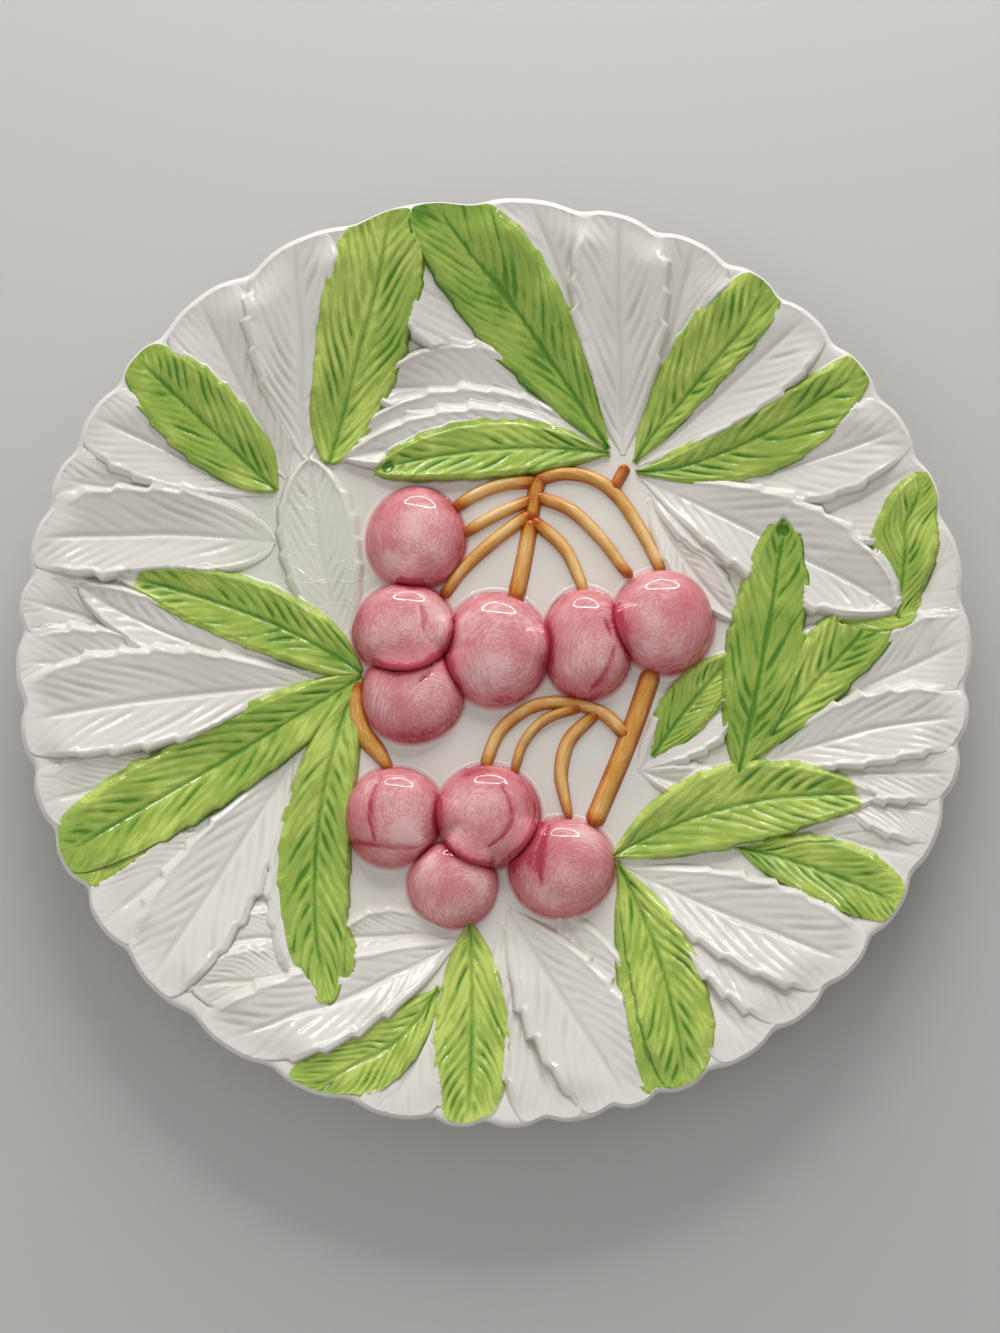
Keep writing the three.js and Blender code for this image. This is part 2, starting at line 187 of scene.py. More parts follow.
# Berries
BERRY_RADIUS = 15.0
BERRY_HEIGHT = 10.2
BERRY_SPREAD = 1.035
BERRY_ROUND = 2.3
BERRY_FOOT = 0.8
BERRY_GAP = 0.6
BERRY_ROWS = 50
BERRY_COLUMNS = 120
WOBBLE_OVAL = 0.012
WOBBLE_THREE = 0.01
WOBBLE_TURN = (20, 30)
CREASE_DEPTH = 0.45
CREASE_WIDTH = 0.045
CREASE_END = 0.08
CREASE_LEFT = 2.2
CREASE_PAINT = 0.7
# Painted shade where one berry sits on or under another
MEETING_WIDTH = 0.09
MEETING_RISE = (0.5, 3)
MEETING_LIMIT = 1.02
MEETING_SHADE = 0.8
PRESSED = 0.985
RAISE_POWER = 5
FOOT_RINGS = (1.01, 1.025, 1.045, 1.07, 1.1, 1.13, 1.14)
FOOT_HEIGHTS = (0.56, 0.36, 0.2, 0.1, 0.05, 0.02, -0.2)
SWIRL_EYE = 0.3
SWIRL_RADIUS = 1.1
SWIRL_PITCH = 9
SWIRL_SHIFT = 5

# Stems
STEM_WIDTH = 4.4
STEM_HEIGHT = 2.3
STEM_ARCH = (2.2, 0.7)
STEM_LEAST_END = 0.02
STEM_BED = 0.2
STEM_FOOT = 1.25
STEM_ROWS = 80
STEM_COLUMNS = 23
STAIN_LENGTH = 4
STEM_STROKE = (16, 2.2)
STROKE_OFFSET = 0.01


def smoothstep(low, high, value):
    """0 below low, 1 above high, and the cubic 3t^2 - 2t^3 between them."""
    share = np.clip((value - low) / (high - low), 0, 1)
    return share * share * (3 - 2 * share)


def plateau(rise, fall, value):
    """0, then 1 past the rise, then 0 again past the fall, each eased over its own span."""
    return smoothstep(*rise, value) * (1 - smoothstep(*fall, value))


def bell(offset, width):
    """1 at no offset, falling off as the exponential of minus the square of the offset over the width."""
    return np.exp(-(offset / width) ** 2)


def ring_point(bearing, ring):
    """A place given as a bearing and a ring: 0 is the axis, 1 the edge of the well and 2 the rim."""
    radius = min(ring, 1) * WELL_RADIUS + max(ring - 1, 0) * (RIM_RADIUS - WELL_RADIUS)
    turn = math.radians(bearing)
    return np.array([radius * math.cos(turn), radius * math.sin(turn)])


def body_top(radius):
    """Height of the upper face: a flat floor, then a hyperbola that runs out into a straight border."""
    out = np.maximum(0, radius - WELL_RADIUS)
    border = RIM_RADIUS - WELL_RADIUS
    climb = np.hypot(out, COVE_LENGTH) - COVE_LENGTH
    return FLOOR_HEIGHT + RIM_RISE * climb / (math.hypot(border, COVE_LENGTH) - COVE_LENGTH)


def body_face(radius):
    """Height of the upper face with the low raised lip that the leaves run into."""
    return body_top(radius) + RIM_LEVEL * smoothstep(*RIM_RAMP, radius)


def rim_draw(bearing):
    """How far the rim is drawn in at a bearing: the notch depth times the distance from mid-lobe, cubed.

    The bottom of each notch is rounded by a hyperbola.
    """
    starts = np.array(NOTCHES, float)
    ends = np.append(starts[1:], starts[0] + 360)
    depths = np.where(np.isin(NOTCHES, DEEP_NOTCHES), DEEP_NOTCH, SHALLOW_NOTCH)
    next_depths = np.roll(depths, -1)
    turned = (bearing - starts[0]) % 360 + starts[0]
    lobe = np.searchsorted(starts, turned, side="right") - 1
    across = (turned - starts[lobe]) / (ends[lobe] - starts[lobe])
    depth = np.where(across < 0.5, depths[lobe], next_depths[lobe])
    from_notch = np.hypot(1 - np.abs(2 * across - 1), NOTCH_SOFTNESS) - NOTCH_SOFTNESS
    from_middle = 1 - from_notch / (math.hypot(1, NOTCH_SOFTNESS) - NOTCH_SOFTNESS)
    return depth * from_middle ** SCALLOP_SHARPNESS


def scalloped(points):
    """Points of a round plate drawn in along its face, and dipped, near each notch of the scalloped one."""
    radius = np.hypot(points[:, 0], points[:, 1])
    draw = rim_draw(np.degrees(np.arctan2(points[:, 1], points[:, 0])) % 360)
    drawn = radius - smoothstep(WELL_RADIUS, RIM_RADIUS, radius) * draw
    share = drawn / np.maximum(radius, 1e-6)
    dip = NOTCH_DIP * draw / DEEP_NOTCH * smoothstep(*DIP_SPAN, radius)
    height = points[:, 2] + body_top(drawn) - body_top(radius) - dip
    return np.c_[points[:, 0] * share, points[:, 1] * share, height]


# Meshes

def grid_faces(rows, columns, closed_columns=False):
    """Quads of a grid of vertices numbered row by row, with the last column joined to the first if closed."""
    row = columns * np.arange(rows - 1)[:, None]
    column = np.arange(columns if closed_columns else columns - 1)[None, :]
    beside = (column + 1) % columns
    corners = (row + columns + column, row + columns + beside, row + beside, row + column)
    return np.stack(corners, axis=-1).reshape(-1, 4)


def as_points(x, y, z):
    """Rows of three coordinates from arrays of one shape."""
    return np.stack([x, y, z], axis=-1).reshape(-1, 3)


def fan_faces(hub, ring, columns):
    """Triangles from a hub to a closed ring of vertices, by the numbers of the hub and the ring's first."""
    column = np.arange(columns)
    return np.c_[np.full(columns, hub), ring + column, ring + (column + 1) % columns]


def add_object(name, data):
    """A new object in the scene."""
    made = bpy.data.objects.new(name, data)
    bpy.context.scene.collection.objects.link(made)
    return made


def make_piece(name, points, polygons, material, node=None, attributes=None):
    """A mesh from points in millimetres and lists of polygons of equal size, set riding on the plate."""
    mesh = bpy.data.meshes.new(name)
    mesh.vertices.add(len(points))
    mesh.vertices.foreach_set("co", (np.asarray(points, np.float32) * MM).ravel())
    corners = np.concatenate([group.ravel() for group in polygons]).astype(np.int32)
    sizes = np.concatenate([np.full(len(group), group.shape[1]) for group in polygons])
    mesh.loops.add(len(corners))
    mesh.loops.foreach_set("vertex_index", corners)
    mesh.polygons.add(len(sizes))
    mesh.polygons.foreach_set("loop_start", (np.cumsum(sizes) - sizes).astype(np.int32))
    mesh.polygons.foreach_set("use_smooth", np.ones(len(sizes), bool))
    for key, values in (attributes or {}).items():
        values = np.asarray(values, np.float32)
        kind, field = ("FLOAT_VECTOR", "vector") if values.ndim == 2 else ("FLOAT", "value")
        mesh.attributes.new(key, kind, "POINT").data.foreach_set(field, values.ravel())
    mesh.update(calc_edges=True)
    mesh.materials.append(material)
    piece = add_object(name, mesh)
    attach(piece, "root")
    if node:
        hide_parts(node)


# Body

def arc(centre, reach, start, end, count):
    """Points of an oval arc in a profile, from one angle to another in degrees."""
    turn = np.radians(np.linspace(start, end, count))
    return np.c_[centre[0] + reach[0] * np.cos(turn), centre[1] + reach[1] * np.sin(turn)]


def body_profile(lip_radius):
    """Radius and height round the section: upper face, rounded lip, underside, foot ring, recess."""
    rows = PROFILE_ROWS
    lip_inside = RIM_RADIUS - lip_radius
    floor = np.linspace(0, WELL_RADIUS - 2, rows["floor"])[1:]
    border = np.linspace(WELL_RADIUS, lip_inside - 1, rows["border"])
    radii = np.concatenate([floor, border])
    upper = np.c_[radii, body_face(radii)]
    lip_top = body_face(lip_inside)
    lip_middle = (lip_top + body_top(lip_inside) - BODY_WALL) / 2
    lip_reach = (lip_radius, lip_top - lip_middle)
    lip = arc((lip_inside, lip_middle), lip_reach, LIP_SWEEP, -LIP_SWEEP, rows["lip"])
    radii = np.linspace(lip_inside - 1, FOOT_RADIUS + 1, rows["under"])
    under = np.c_[radii, body_top(radii) - BODY_WALL]
    foot_inside = FOOT_RADIUS - FOOT_WIDTH
    foot_reach = (FOOT_ROUND, FOOT_ROUND)
    wall = [[FOOT_RADIUS, FOOT_HEIGHT - FOOT_COVE]]
    outer = arc((FOOT_RADIUS - FOOT_ROUND, FOOT_ROUND), foot_reach, 0, -90, rows["foot"])
    inner = arc((foot_inside + FOOT_ROUND, FOOT_ROUND), foot_reach, -90, -180, rows["foot"])
    radii = np.linspace(foot_inside, HUB_RADIUS, rows["recess"])
    recess = np.c_[radii, np.full(len(radii), FOOT_HEIGHT)]
    return np.concatenate([upper, lip, under, wall, outer, inner, recess])


def make_body(material):
    """The profile turned about the axis and scalloped, with a lip that is rounder towards the top."""
    turn = np.linspace(0, 2 * np.pi, BODY_COLUMNS, endpoint=False)[None, :]
    sharp, rounder = (body_profile(lip_radius) for lip_radius in LIP_RADIUS)
    upward = (1 + np.sin(turn)) / 2
    radius = sharp[:, :1] + (rounder - sharp)[:, :1] * upward
    height = sharp[:, 1:] + (rounder - sharp)[:, 1:] * upward
    rings = as_points(radius * np.cos(turn), radius * np.sin(turn), height)
    rows, columns = height.shape
    poles = np.array([[0, 0, FLOOR_HEIGHT], [0, 0, FOOT_HEIGHT]])
    points = np.concatenate([scalloped(rings), poles])
    quads = grid_faces(rows, columns, closed_columns=True)
    above = fan_faces(len(rings), 0, columns)
    below = fan_faces(len(rings) + 1, len(rings) - columns, columns)[:, [0, 2, 1]]
    make_piece("plate_body_glazed", points, [quads, above, below], material, "plate_body")


# Leaves

@dataclass
class Leaf:
    """A leaf from its narrow end to its tip, each a bearing and a ring. Width and bow are in leaf widths.

    Belly is the share of the length where it is widest; tip and base are how soon it narrows from there,
    less being blunter. Rib moves the midrib to the left, as a share of the half width. Veins and teeth scale
    their depth. Bare is the share of the length at the tip that the paint leaves white. Dot is the share of
    the length where a round pit is pressed into the midrib, or 0 for none. Pale scales how far the paint
    stays clear of the edge, and tone is how much darker than the others it is painted. Height scales how far
    it stands up, and cup how far its edges rise above the midrib. Level is its place in the pile.
    """

    name: str
    start: tuple
    end: tuple
    width: float
    bow: float
    belly: float
    tip: float = POINTED
    base: float = 1.0
    rib: float = 0.0
    veins: float = 1.0
    bare: float = 0.0
    dot: float = 0.0
    teeth: float = 1.0
    pale: float = 1.0
    tone: float = 0.0
    height: float = 1.0
    cup: float = 1.0
    level: int = 0

    def __post_init__(self):
        """Works out the run of the leaf, and how its veins and teeth differ from one another."""
        self.colour = self.name.split("_")[0]
        self.origin = ring_point(*self.start)
        run = ring_point(*self.end) - self.origin
        self.length = float(np.hypot(*run))
        self.ahead = run / self.length
        self.left = np.array([-self.ahead[1], self.ahead[0]])
        self.half = self.width * LEAF_WIDTH / 2 * LEAF_SPREAD[self.colour]
        self.fold = self.cup * FOLD_SHARE[self.colour] * 2 * self.half
        self.pitch = VEIN_PITCH[self.colour] * float(np.clip(self.length / PLAIN_LENGTH, *PITCH_LIMITS))
        self.tooth_pitch = float(np.clip(self.length / TEETH_ALONG, *TOOTH_LIMITS))
        self.vein_strength = random.uniform(*VEIN_STRENGTH, (2, VEIN_COUNT))
        self.vein_end = random.uniform(*VEIN_END, (2, VEIN_COUNT))
        self.tooth_strength = random.uniform(*TOOTH_STRENGTH, (2, VEIN_COUNT))
        self.waver = random.uniform(0, 2 * np.pi, 4)

    @property
    def lift(self):
        """Height of the midrib over the body, by the leaf's level in the pile."""
        return self.height * (LOWEST_LIFT + LEVEL_STEP * min(self.level, TOP_LEVEL))


def rim_leaf(name, start, bearing, width, bow=0, belly=0.66, **shape):
    """A leaf with a broad tip that ends at the rim, at a bearing."""
    return Leaf(name, start, (bearing, RIM_REACH), width, bow, belly, BROAD, **shape)


# Leaves, from the uppermost to the lowest; most stand for a solid, and those named small have none
LEAVES = [
    Leaf("green_leaf_right_tall", (332.5, 1.1), (24.5, 1.33), 1.02, -0.05, 0.5, 0.62, base=0.85, dot=0.955,
         pale=0.4, tone=0.18),
    Leaf("green_leaf_right_lower", (299, 0.95), (337.5, 1.69), 1.17, 0.375, 0.49, bare=0.02, tone=-0.08),
    Leaf("green_leaf_left_lower", (191.5, 0.54), (207.5, 2), 1.12, -0.05, 0.68, BROAD, base=0.55, pale=0.2),
    Leaf("green_leaf_left_upright", (198, 0.6), (245.5, 1.62), 0.92, -0.36, 0.52, 0.5, base=0.5, pale=0.5),
    Leaf("green_small_left_upright_fork", (241, 1.28), (246.8, 1.49), 0.42, -0.05, 0.7, veins=0.2, teeth=0,
         pale=0.3),
    Leaf("green_leaf_right_upper", (52, 0.95), (37, 2), 0.95, -0.4, 0.62, ROUND, rib=0.25),
    Leaf("green_leaf_top_right", (54, 0.98), (53, 2), 0.95, 0.15, 0.74, ROUND, rib=-0.4),
    Leaf("green_leaf_above_stems", (60.5, 0.95), (122.5, 0.89), 0.85, -0.2, 0.5, 0.6, dot=0.95),
    Leaf("green_leaf_top", (61.5, 0.97), (98.2, 2), 1.4, -0.125, 0.66, 0.25, pale=0.6, tone=0.15),
    Leaf("green_leaf_top_left", (130.5, 1.04), (103, 1.99), 1.33, -0.03, 0.7, 0.28, base=0.5, pale=0.6,
         tone=-0.05),
    Leaf("green_leaf_left_upper", (143, 1.13), (141, 2), 1.17, 0, 0.55, ROUND, base=0.7),
    Leaf("green_leaf_left_middle", (189.5, 0.54), (169.5, 1.59), 0.97, -0.25, 0.48, base=0.6, bare=0.02),
    Leaf("green_leaf_bottom", (265, 1.09), (267, 2), 0.975, 0.05, 0.62, ROUND, tone=-0.12),
    Leaf("green_leaf_bottom_right", (299.5, 0.98), (292.5, 2), 0.94, 0.2, 0.66, ROUND, pale=0.2, tone=-0.05),
    Leaf("green_leaf_right_outer", (320, 1.27), (326, 2), 0.95, 0.1, 0.66, ROUND),
    Leaf("green_leaf_right_inner", (326, 0.76), (359, 0.96), 0.7, 0.05, 0.5),
    Leaf("white_leaf_right_bent", (50, 0.94), (5, 1.69), 1.3, 0.1, 0.62, 0.75),
    Leaf("green_leaf_right_tip", (3.4, 1.7), (21.2, 1.95), 0.82, 0.1, 0.58, 0.45, base=0.6, pale=0.5),
    Leaf("green_leaf_right_fold", (4.1, 1.44), (5, 1.79), 0.5, -0.08, 0.72, BLUNT, veins=0.2, teeth=0,
         pale=0),
    Leaf("green_small_left_lower_under", (205, 1.3), (211, 2), 0.6, 0, 0.6, ROUND, veins=0.2, teeth=0.3),
    Leaf("green_small_bottom_right_under", (299.5, 1.02), (289.5, 1.97), 0.75, 0.1, 0.6, ROUND, veins=0,
         teeth=0.3, pale=0.3),
    rim_leaf("white_leaf_bottom_left", (263.5, 1.18), 235.5, 1.1, 0.18, 0.62),
    Leaf("green_leaf_bottom_left", (261, 1.42), (247, 2), 0.85, 0.3, 0.6, ROUND, tone=-0.1),
    Leaf("white_leaf_beside_well", (176.5, 0.62), (133.5, 1.11), 1.06, 0.06, 0.58, 0.6, base=0.6, veins=1.2,
         teeth=0.6, tone=0.06, height=0.7, cup=0.75),
    rim_leaf("white_leaf_left", (153, 1), 168, 1.25, -0.15, 0.5, base=0.5, teeth=1.5, height=1.15, cup=1.15),
    rim_leaf("white_leaf_left_low", (191, 0.7), 190.5, 1.4, -0.15, 0.66),
    Leaf("white_leaf_left_under", (186, 0.69), (172, 1.77), 0.8, 0.25, 0.6),
    rim_leaf("white_leaf_lower_left", (209, 0.91), 226, 1.2),
    Leaf("green_leaf_right_slanted", (335, 1.1), (5.5, 1.63), 0.92, 0.05, 0.74, 0.3, rib=-0.1, pale=0.4,
         height=1.35),
    Leaf("white_leaf_right_narrow", (46.5, 0.92), (19, 1.09), 0.5, -0.05, 0.55),
    Leaf("white_leaf_right_short", (45, 0.89), (7.5, 0.98), 0.6, -0.1, 0.6),
    rim_leaf("white_leaf_right_upper", (49, 0.96), 28, 1.2, -0.25, 0.66),
    rim_leaf("white_leaf_top_right", (53, 0.98), 46.5, 1.2, 0, 0.72),
    rim_leaf("white_leaf_top", (57.5, 0.98), 74.5, 1.3, veins=1.5),
    rim_leaf("white_leaf_top_middle", (63, 1.01), 86.5, 1.4, -0.2, 0.66, veins=1.5),
    rim_leaf("white_leaf_top_left", (134, 1.13), 115.5, 1.45, veins=1.4),
    rim_leaf("white_leaf_left_top", (139.5, 1.13), 130, 1.4, 0, 0.7, veins=1.4),
    Leaf("white_leaf_fan_low", (62, 0.96), (127, 1.01), 0.95, -0.2, 0.5),
    Leaf("white_leaf_fan_middle", (62, 0.99), (123.5, 1.08), 1.05, -0.25, 0.55),
    Leaf("white_leaf_fan_high", (65, 1.03), (116, 1.25), 1.25, -0.3, 0.55),
    rim_leaf("white_leaf_right_low", (336, 1.17), 350.5, 1, 0.15, 0.55),
    rim_leaf("white_leaf_right", (347.5, 1.31), 0.5, 1.15, 0, 0.6),
    rim_leaf("white_leaf_right_lower", (337, 1.33), 343.5, 0.85, 0, 0.6),
    rim_leaf("white_leaf_lower_right", (301, 1.03), 317.5, 1.25, -0.05, 0.62),
    rim_leaf("white_leaf_lower_right_second", (302, 1.14), 309.5, 1.05),
    rim_leaf("white_leaf_lower_right_third", (300.5, 1.09), 301.5, 1.15),
    rim_leaf("white_leaf_bottom_right", (273, 1.04), 286, 1.3, 0, 0.6),
    rim_leaf("white_leaf_bottom", (271.5, 1.11), 277, 0.95),
    rim_leaf("white_leaf_bottom_second", (261.5, 1.47), 258, 1.1, 0, 0.6),
    Leaf("white_small_upright_under", (211.5, 0.85), (242.5, 1.58), 0.9, -0.15, 0.6, BLUNT, veins=0.6),
    rim_leaf("white_small_left_first", (145, 1.16), 150.5, 1.15),
    rim_leaf("white_small_left_second", (150, 1.12), 159.5, 1, 0, 0.6, base=0.5, height=1.2),
    rim_leaf("white_small_top_left", (120, 1.34), 110, 0.9),
    Leaf("white_small_fan_top", (75, 1.1), (104, 1.9), 1.9, -0.15, 0.6, BLUNT),
    rim_leaf("white_small_top_right", (58, 1.27), 64, 1.2, veins=1.4),
    rim_leaf("white_small_right_upper", (22, 1.2), 22.5, 1.35, 0, 0.6),
    rim_leaf("white_small_right_tip", (1, 1.45), 11, 1.5, 0, 0.6),
    rim_leaf("white_small_right_lower", (336, 1.5), 338, 0.9, 0, 0.6),
    rim_leaf("white_small_lower_right", (328, 1.46), 332.5, 0.95, 0, 0.6),
    rim_leaf("white_small_bottom_right", (284, 1.05), 289.5, 1, 0, 0.6),
    Leaf("white_small_bottom", (261, 1.16), (242.5, 1.34), 0.75, 0, 0.55),
    rim_leaf("white_small_lower_left", (214, 1.4), 217, 1.2, 0, 0.6),
    Leaf("white_small_left_stub_third", (241, 1.55), (230, 1.89), 0.85, 0, 0.5, BLUNT, BLUNT, height=1.2,
         cup=0.4),
    Leaf("white_small_left_stub_second", (239, 1.39), (226.5, 1.72), 0.8, 0, 0.5, BLUNT, BLUNT, height=1.5,
         cup=0.4),
    Leaf("white_small_left_stub_first", (237, 1.24), (222.5, 1.54), 0.8, 0, 0.5, BLUNT, BLUNT, height=2,
         cup=0.4),
    rim_leaf("white_small_left_low", (182.5, 1.14), 183, 0.95),
    rim_leaf("white_small_left_middle", (177, 1.5), 175, 0.95, 0, 0.6),
    rim_leaf("white_small_left_lowest", (201, 1.39), 200.5, 0.9, 0, 0.6),
    Leaf("white_small_right_between", (336, 1.1), (3, 1.4), 0.8, 0, 0.7, BLUNT, veins=0.6, teeth=0.3),
    Leaf("white_small_inner_wide", (320, 0.75), (347, 0.98), 0.8, 0.1, 0.6, veins=0.5),
    Leaf("white_small_inner_narrow", (320, 0.75), (330, 1.07), 0.45, -0.1, 0.6, veins=0.5),
]


def half_width(leaf, along):
    """Half the leaf's width: an arch 1 - q^2 on either side of the belly, to the powers base and tip."""
    before = along < leaf.belly
    to_belly = np.where(before, 1 - along / leaf.belly, (along - leaf.belly) / (1 - leaf.belly))
    arch = np.maximum(0, 1 - to_belly ** 2) ** np.where(before, leaf.base, leaf.tip)
    return np.maximum(LEAF_END / 2, leaf.half * arch)


def bow_at(leaf, along):
    """Sideways bow of the midline: a parabola with its top in the middle."""
    return LEAF_WIDTH * leaf.bow * 4 * along * (1 - along)


def leaf_coordinates(leaf, x, y):
    """Share of the length and signed share of the half width of points in the plan of a leaf."""
    offset_x = x - leaf.origin[0]
    offset_y = y - leaf.origin[1]
    along = (offset_x * leaf.ahead[0] + offset_y * leaf.ahead[1]) / leaf.length
    sideways = offset_x * leaf.left[0] + offset_y * leaf.left[1]
    inside = np.clip(along, 0, 1)
    across = (sideways - bow_at(leaf, inside)) / half_width(leaf, inside)
    return along, across


def covered(along, across):
    """True where a point lies under a leaf with these coordinates."""
    return (along > 0) & (along < 1) & (np.abs(across) < 1)


def vein_marks(leaf, along, out, reach, side):
    """Grooves between the veins, from 0 to 1, and the number of veins passed.

    A point's vein number is the place on the rib that a line through it, leaning and swept forwards, comes
    from, over the pitch, with a slow waver. Each groove has a depth and an end of its own.
    """
    distance = out * reach
    root = along * leaf.length - VEIN_LEAN * distance - VEIN_SWEEP * distance * out
    slow = VEIN_SWAY[0] * np.sin(7 * along + leaf.waver[0])
    quick = VEIN_SWAY[1] * np.sin(13 * along + 3 * out + leaf.waver[1])
    number = root / leaf.pitch + (slow + quick) + 0.5 * side
    whole = np.floor(number)
    index = whole.astype(int) % VEIN_COUNT
    valley = (1 - np.abs(2 * (number - whole) - 1)) ** VEIN_SHARPNESS[leaf.colour]
    end = leaf.vein_end[side, index]
    taper = smoothstep(*VEIN_START, out) * (1 - VEIN_LOSS * smoothstep(end - VEIN_TAPER, end, out))
    patchy = VEIN_PATCHES[0] + VEIN_PATCHES[1] * np.sin(9 * along + 5 * out + 2 * side + leaf.waver[2])
    return valley * leaf.vein_strength[side, index] * taper * patchy, number


def leaf_surface(leaf, along, across):
    """A leaf's relief over the body, its grooves from 0 to 1, its vein number and the share from rib to edge.

    The relief is the lift, plus a fold that climbs from the rib to both edges and a bead just inside each,
    minus the grooves, the rib's line and a roll-off at the edge, less where the leaf starts and ends.
    """
    half = half_width(leaf, along)
    rib = leaf.rib * plateau(*RIB_BEND, along)
    from_rib = across - rib
    side = (from_rib > 0).astype(int)
    share = np.where(from_rib > 0, 1 - rib, 1 + rib)
    out = np.abs(from_rib) / share
    groove, number = vein_marks(leaf, along, out, half * share, side)
    groove = groove * smoothstep(*VEIN_BASE, along) * (1 - VEIN_TIP_LOSS * smoothstep(*VEIN_TIP, along))
    near_tip = smoothstep(TIP_START, 1, along)
    rib_line = bell(out * half * share, RIB_HALF_WIDTH) * (1 - near_tip) * min(1, 2 * leaf.veins)
    start = BASE_RISE[leaf.colour]
    rise = (start + (1 - start) * smoothstep(0, BASE_RISE_END, along)) * (1 - TIP_FALL * near_tip)
    climb = np.hypot(out, FOLD_SOFTNESS) - FOLD_SOFTNESS
    roll = ROLL_DEPTH * smoothstep(ROLL_START, 1, out) ** 2
    bead = leaf.cup * EDGE_BEAD[leaf.colour] * bell((1 - out) * half * share - BEAD_PLACE, BEAD_WIDTH)
    relief = rise * (leaf.lift + leaf.fold * climb + bead - roll - RIB_DEPTH[leaf.colour] * rib_line)
    relief = relief - leaf.veins * VEIN_DEPTH[leaf.colour] * groove
    mark = np.maximum(leaf.veins * groove, RIB_MARK * rib_line)
    if leaf.dot:
        from_dot = np.hypot((along - leaf.dot) * leaf.length, across * half) / DOT_RADIUS
        dot = 1 - smoothstep(*DOT_EDGE, from_dot)
        relief = relief - DOT_DEPTH * dot
        mark = np.maximum(mark, DOT_MARK * dot)
    return relief, mark, number, out


def leaf_height(leaf, along, across, radius):
    """Height of a leaf's upper face, its relief passing to a level just over the lip as it nears the rim."""
    relief, mark = leaf_surface(leaf, along, across)[:2]
    sink = smoothstep(*RIM_SINK, radius)
    level = RIM_LEVEL + TIP_RISE + TIP_STEP * min(leaf.level, TOP_LEVEL) - TIP_VEINS * mark
    relief = np.maximum(LEAST_RELIEF, relief)
    return body_top(radius) + relief + (level - relief) * sink


def moved(leaf, x, y, forwards, sideways):
    """A place moved forwards and to the left, as the leaf runs."""
    x = x + leaf.ahead[0] * forwards + leaf.left[0] * sideways
    y = y + leaf.ahead[1] * forwards + leaf.left[1] * sideways
    return x, y


def leaf_plan(leaf, along, across):
    """Plan of a leaf, with teeth that widen towards the tip and step back in, each of its own depth."""
    side = (across > leaf.rib).astype(int)
    place = along * leaf.length / leaf.tooth_pitch + leaf.waver[2 + side]
    tooth = place % 1
    saw = np.where(tooth < TOOTH_PEAK, (tooth / TOOTH_PEAK) ** TOOTH_CURVE, (1 - tooth) / (1 - TOOTH_PEAK))
    depth = leaf.teeth * TOOTH_DEPTH[leaf.colour] * min(1, leaf.half / FULL_HALF_WIDTH)
    depth = depth * leaf.tooth_strength[side, np.floor(place).astype(int) % VEIN_COUNT]
    tooth_out = depth * saw * plateau(*TOOTH_SPAN, along) * np.abs(across) ** TOOTH_REACH
    toothed = half_width(leaf, along) + tooth_out
    return moved(leaf, *leaf.origin, along * leaf.length, bow_at(leaf, along) + across * toothed)


def pile_levels(leaves):
    """Gives each leaf a level one above the highest of the lower leaves that it overlaps."""
    along, across = np.meshgrid(np.linspace(*PILE_ALONG), np.linspace(*PILE_ACROSS), indexing="ij")
    for index in reversed(range(len(leaves))):
        leaf = leaves[index]
        x, y = leaf_plan(leaf, along, across)
        for lower in leaves[index + 1:]:
            if covered(*leaf_coordinates(lower, x, y)).mean() > OVERLAP_SHARE:
                leaf.level = max(leaf.level, lower.level + 1)


def leaf_tops(leaves, x, y, radius):
    """Each leaf that covers some of the points: which ones, and the height of its upper face there."""
    for leaf in leaves:
        along, across = leaf_coordinates(leaf, x, y)
        inside = covered(along, across)
        if inside.any():
            yield inside, leaf_height(leaf, along[inside], across[inside], radius[inside])


def leaf_ground(lower_leaves, x, y):
    """Height of what a leaf lies on: the body, or the highest of the lower leaves."""
    radius = np.hypot(x, y)
    ground = body_face(radius)
    for inside, top in leaf_tops(lower_leaves, x, y, radius):
        ground[inside] = np.maximum(ground[inside], top)
    return ground


def tucked_under(upper_leaves, x, y, z):
    """Height of a leaf's points pressed below the leaves that cover them."""
    radius = np.hypot(x, y)
    for inside, top in leaf_tops(upper_leaves, x, y, radius):
        z[inside] = np.minimum(z[inside], top - COVER_GAP)
    return np.maximum(z, body_top(radius) - BURIED)


def kept_inside_rim(x, y, margins):
    """Points drawn in to a circle: a smooth minimum of each radius and the rim's, less a margin.

    The margin passes from the first at the bottom of the decoration to the second at its top.
    """
    radius = np.hypot(x, y)
    limit = RIM_RADIUS - margins[0] - (margins[1] - margins[0]) * (1 + y / radius) / 2
    kept = limit - RIM_SOFTNESS * np.logaddexp(0, (limit - radius) / RIM_SOFTNESS)
    return x * kept / radius, y * kept / radius


def leaf_stations(leaf):
    """Shares of the length, closer together round the tip, where they follow the sine of an equal turn."""
    rows = int(np.clip(leaf.length / ROW_PITCH, *ROW_LIMITS))
    behind = int(rows * leaf.belly)
    before = np.linspace(0, leaf.belly, behind, endpoint=False)
    after = leaf.belly + (1 - leaf.belly) * np.sin(np.linspace(0, np.pi / 2, rows - behind))
    return np.concatenate([before, after])


def with_skirt(values):
    """Values with the first and last repeated for the skirt, and the steps of each past the sheet's own."""
    place = np.arange(-SKIRT_STEPS, len(values) + SKIRT_STEPS)
    kept = np.clip(place, 0, len(values) - 1)
    return values[kept], place - kept


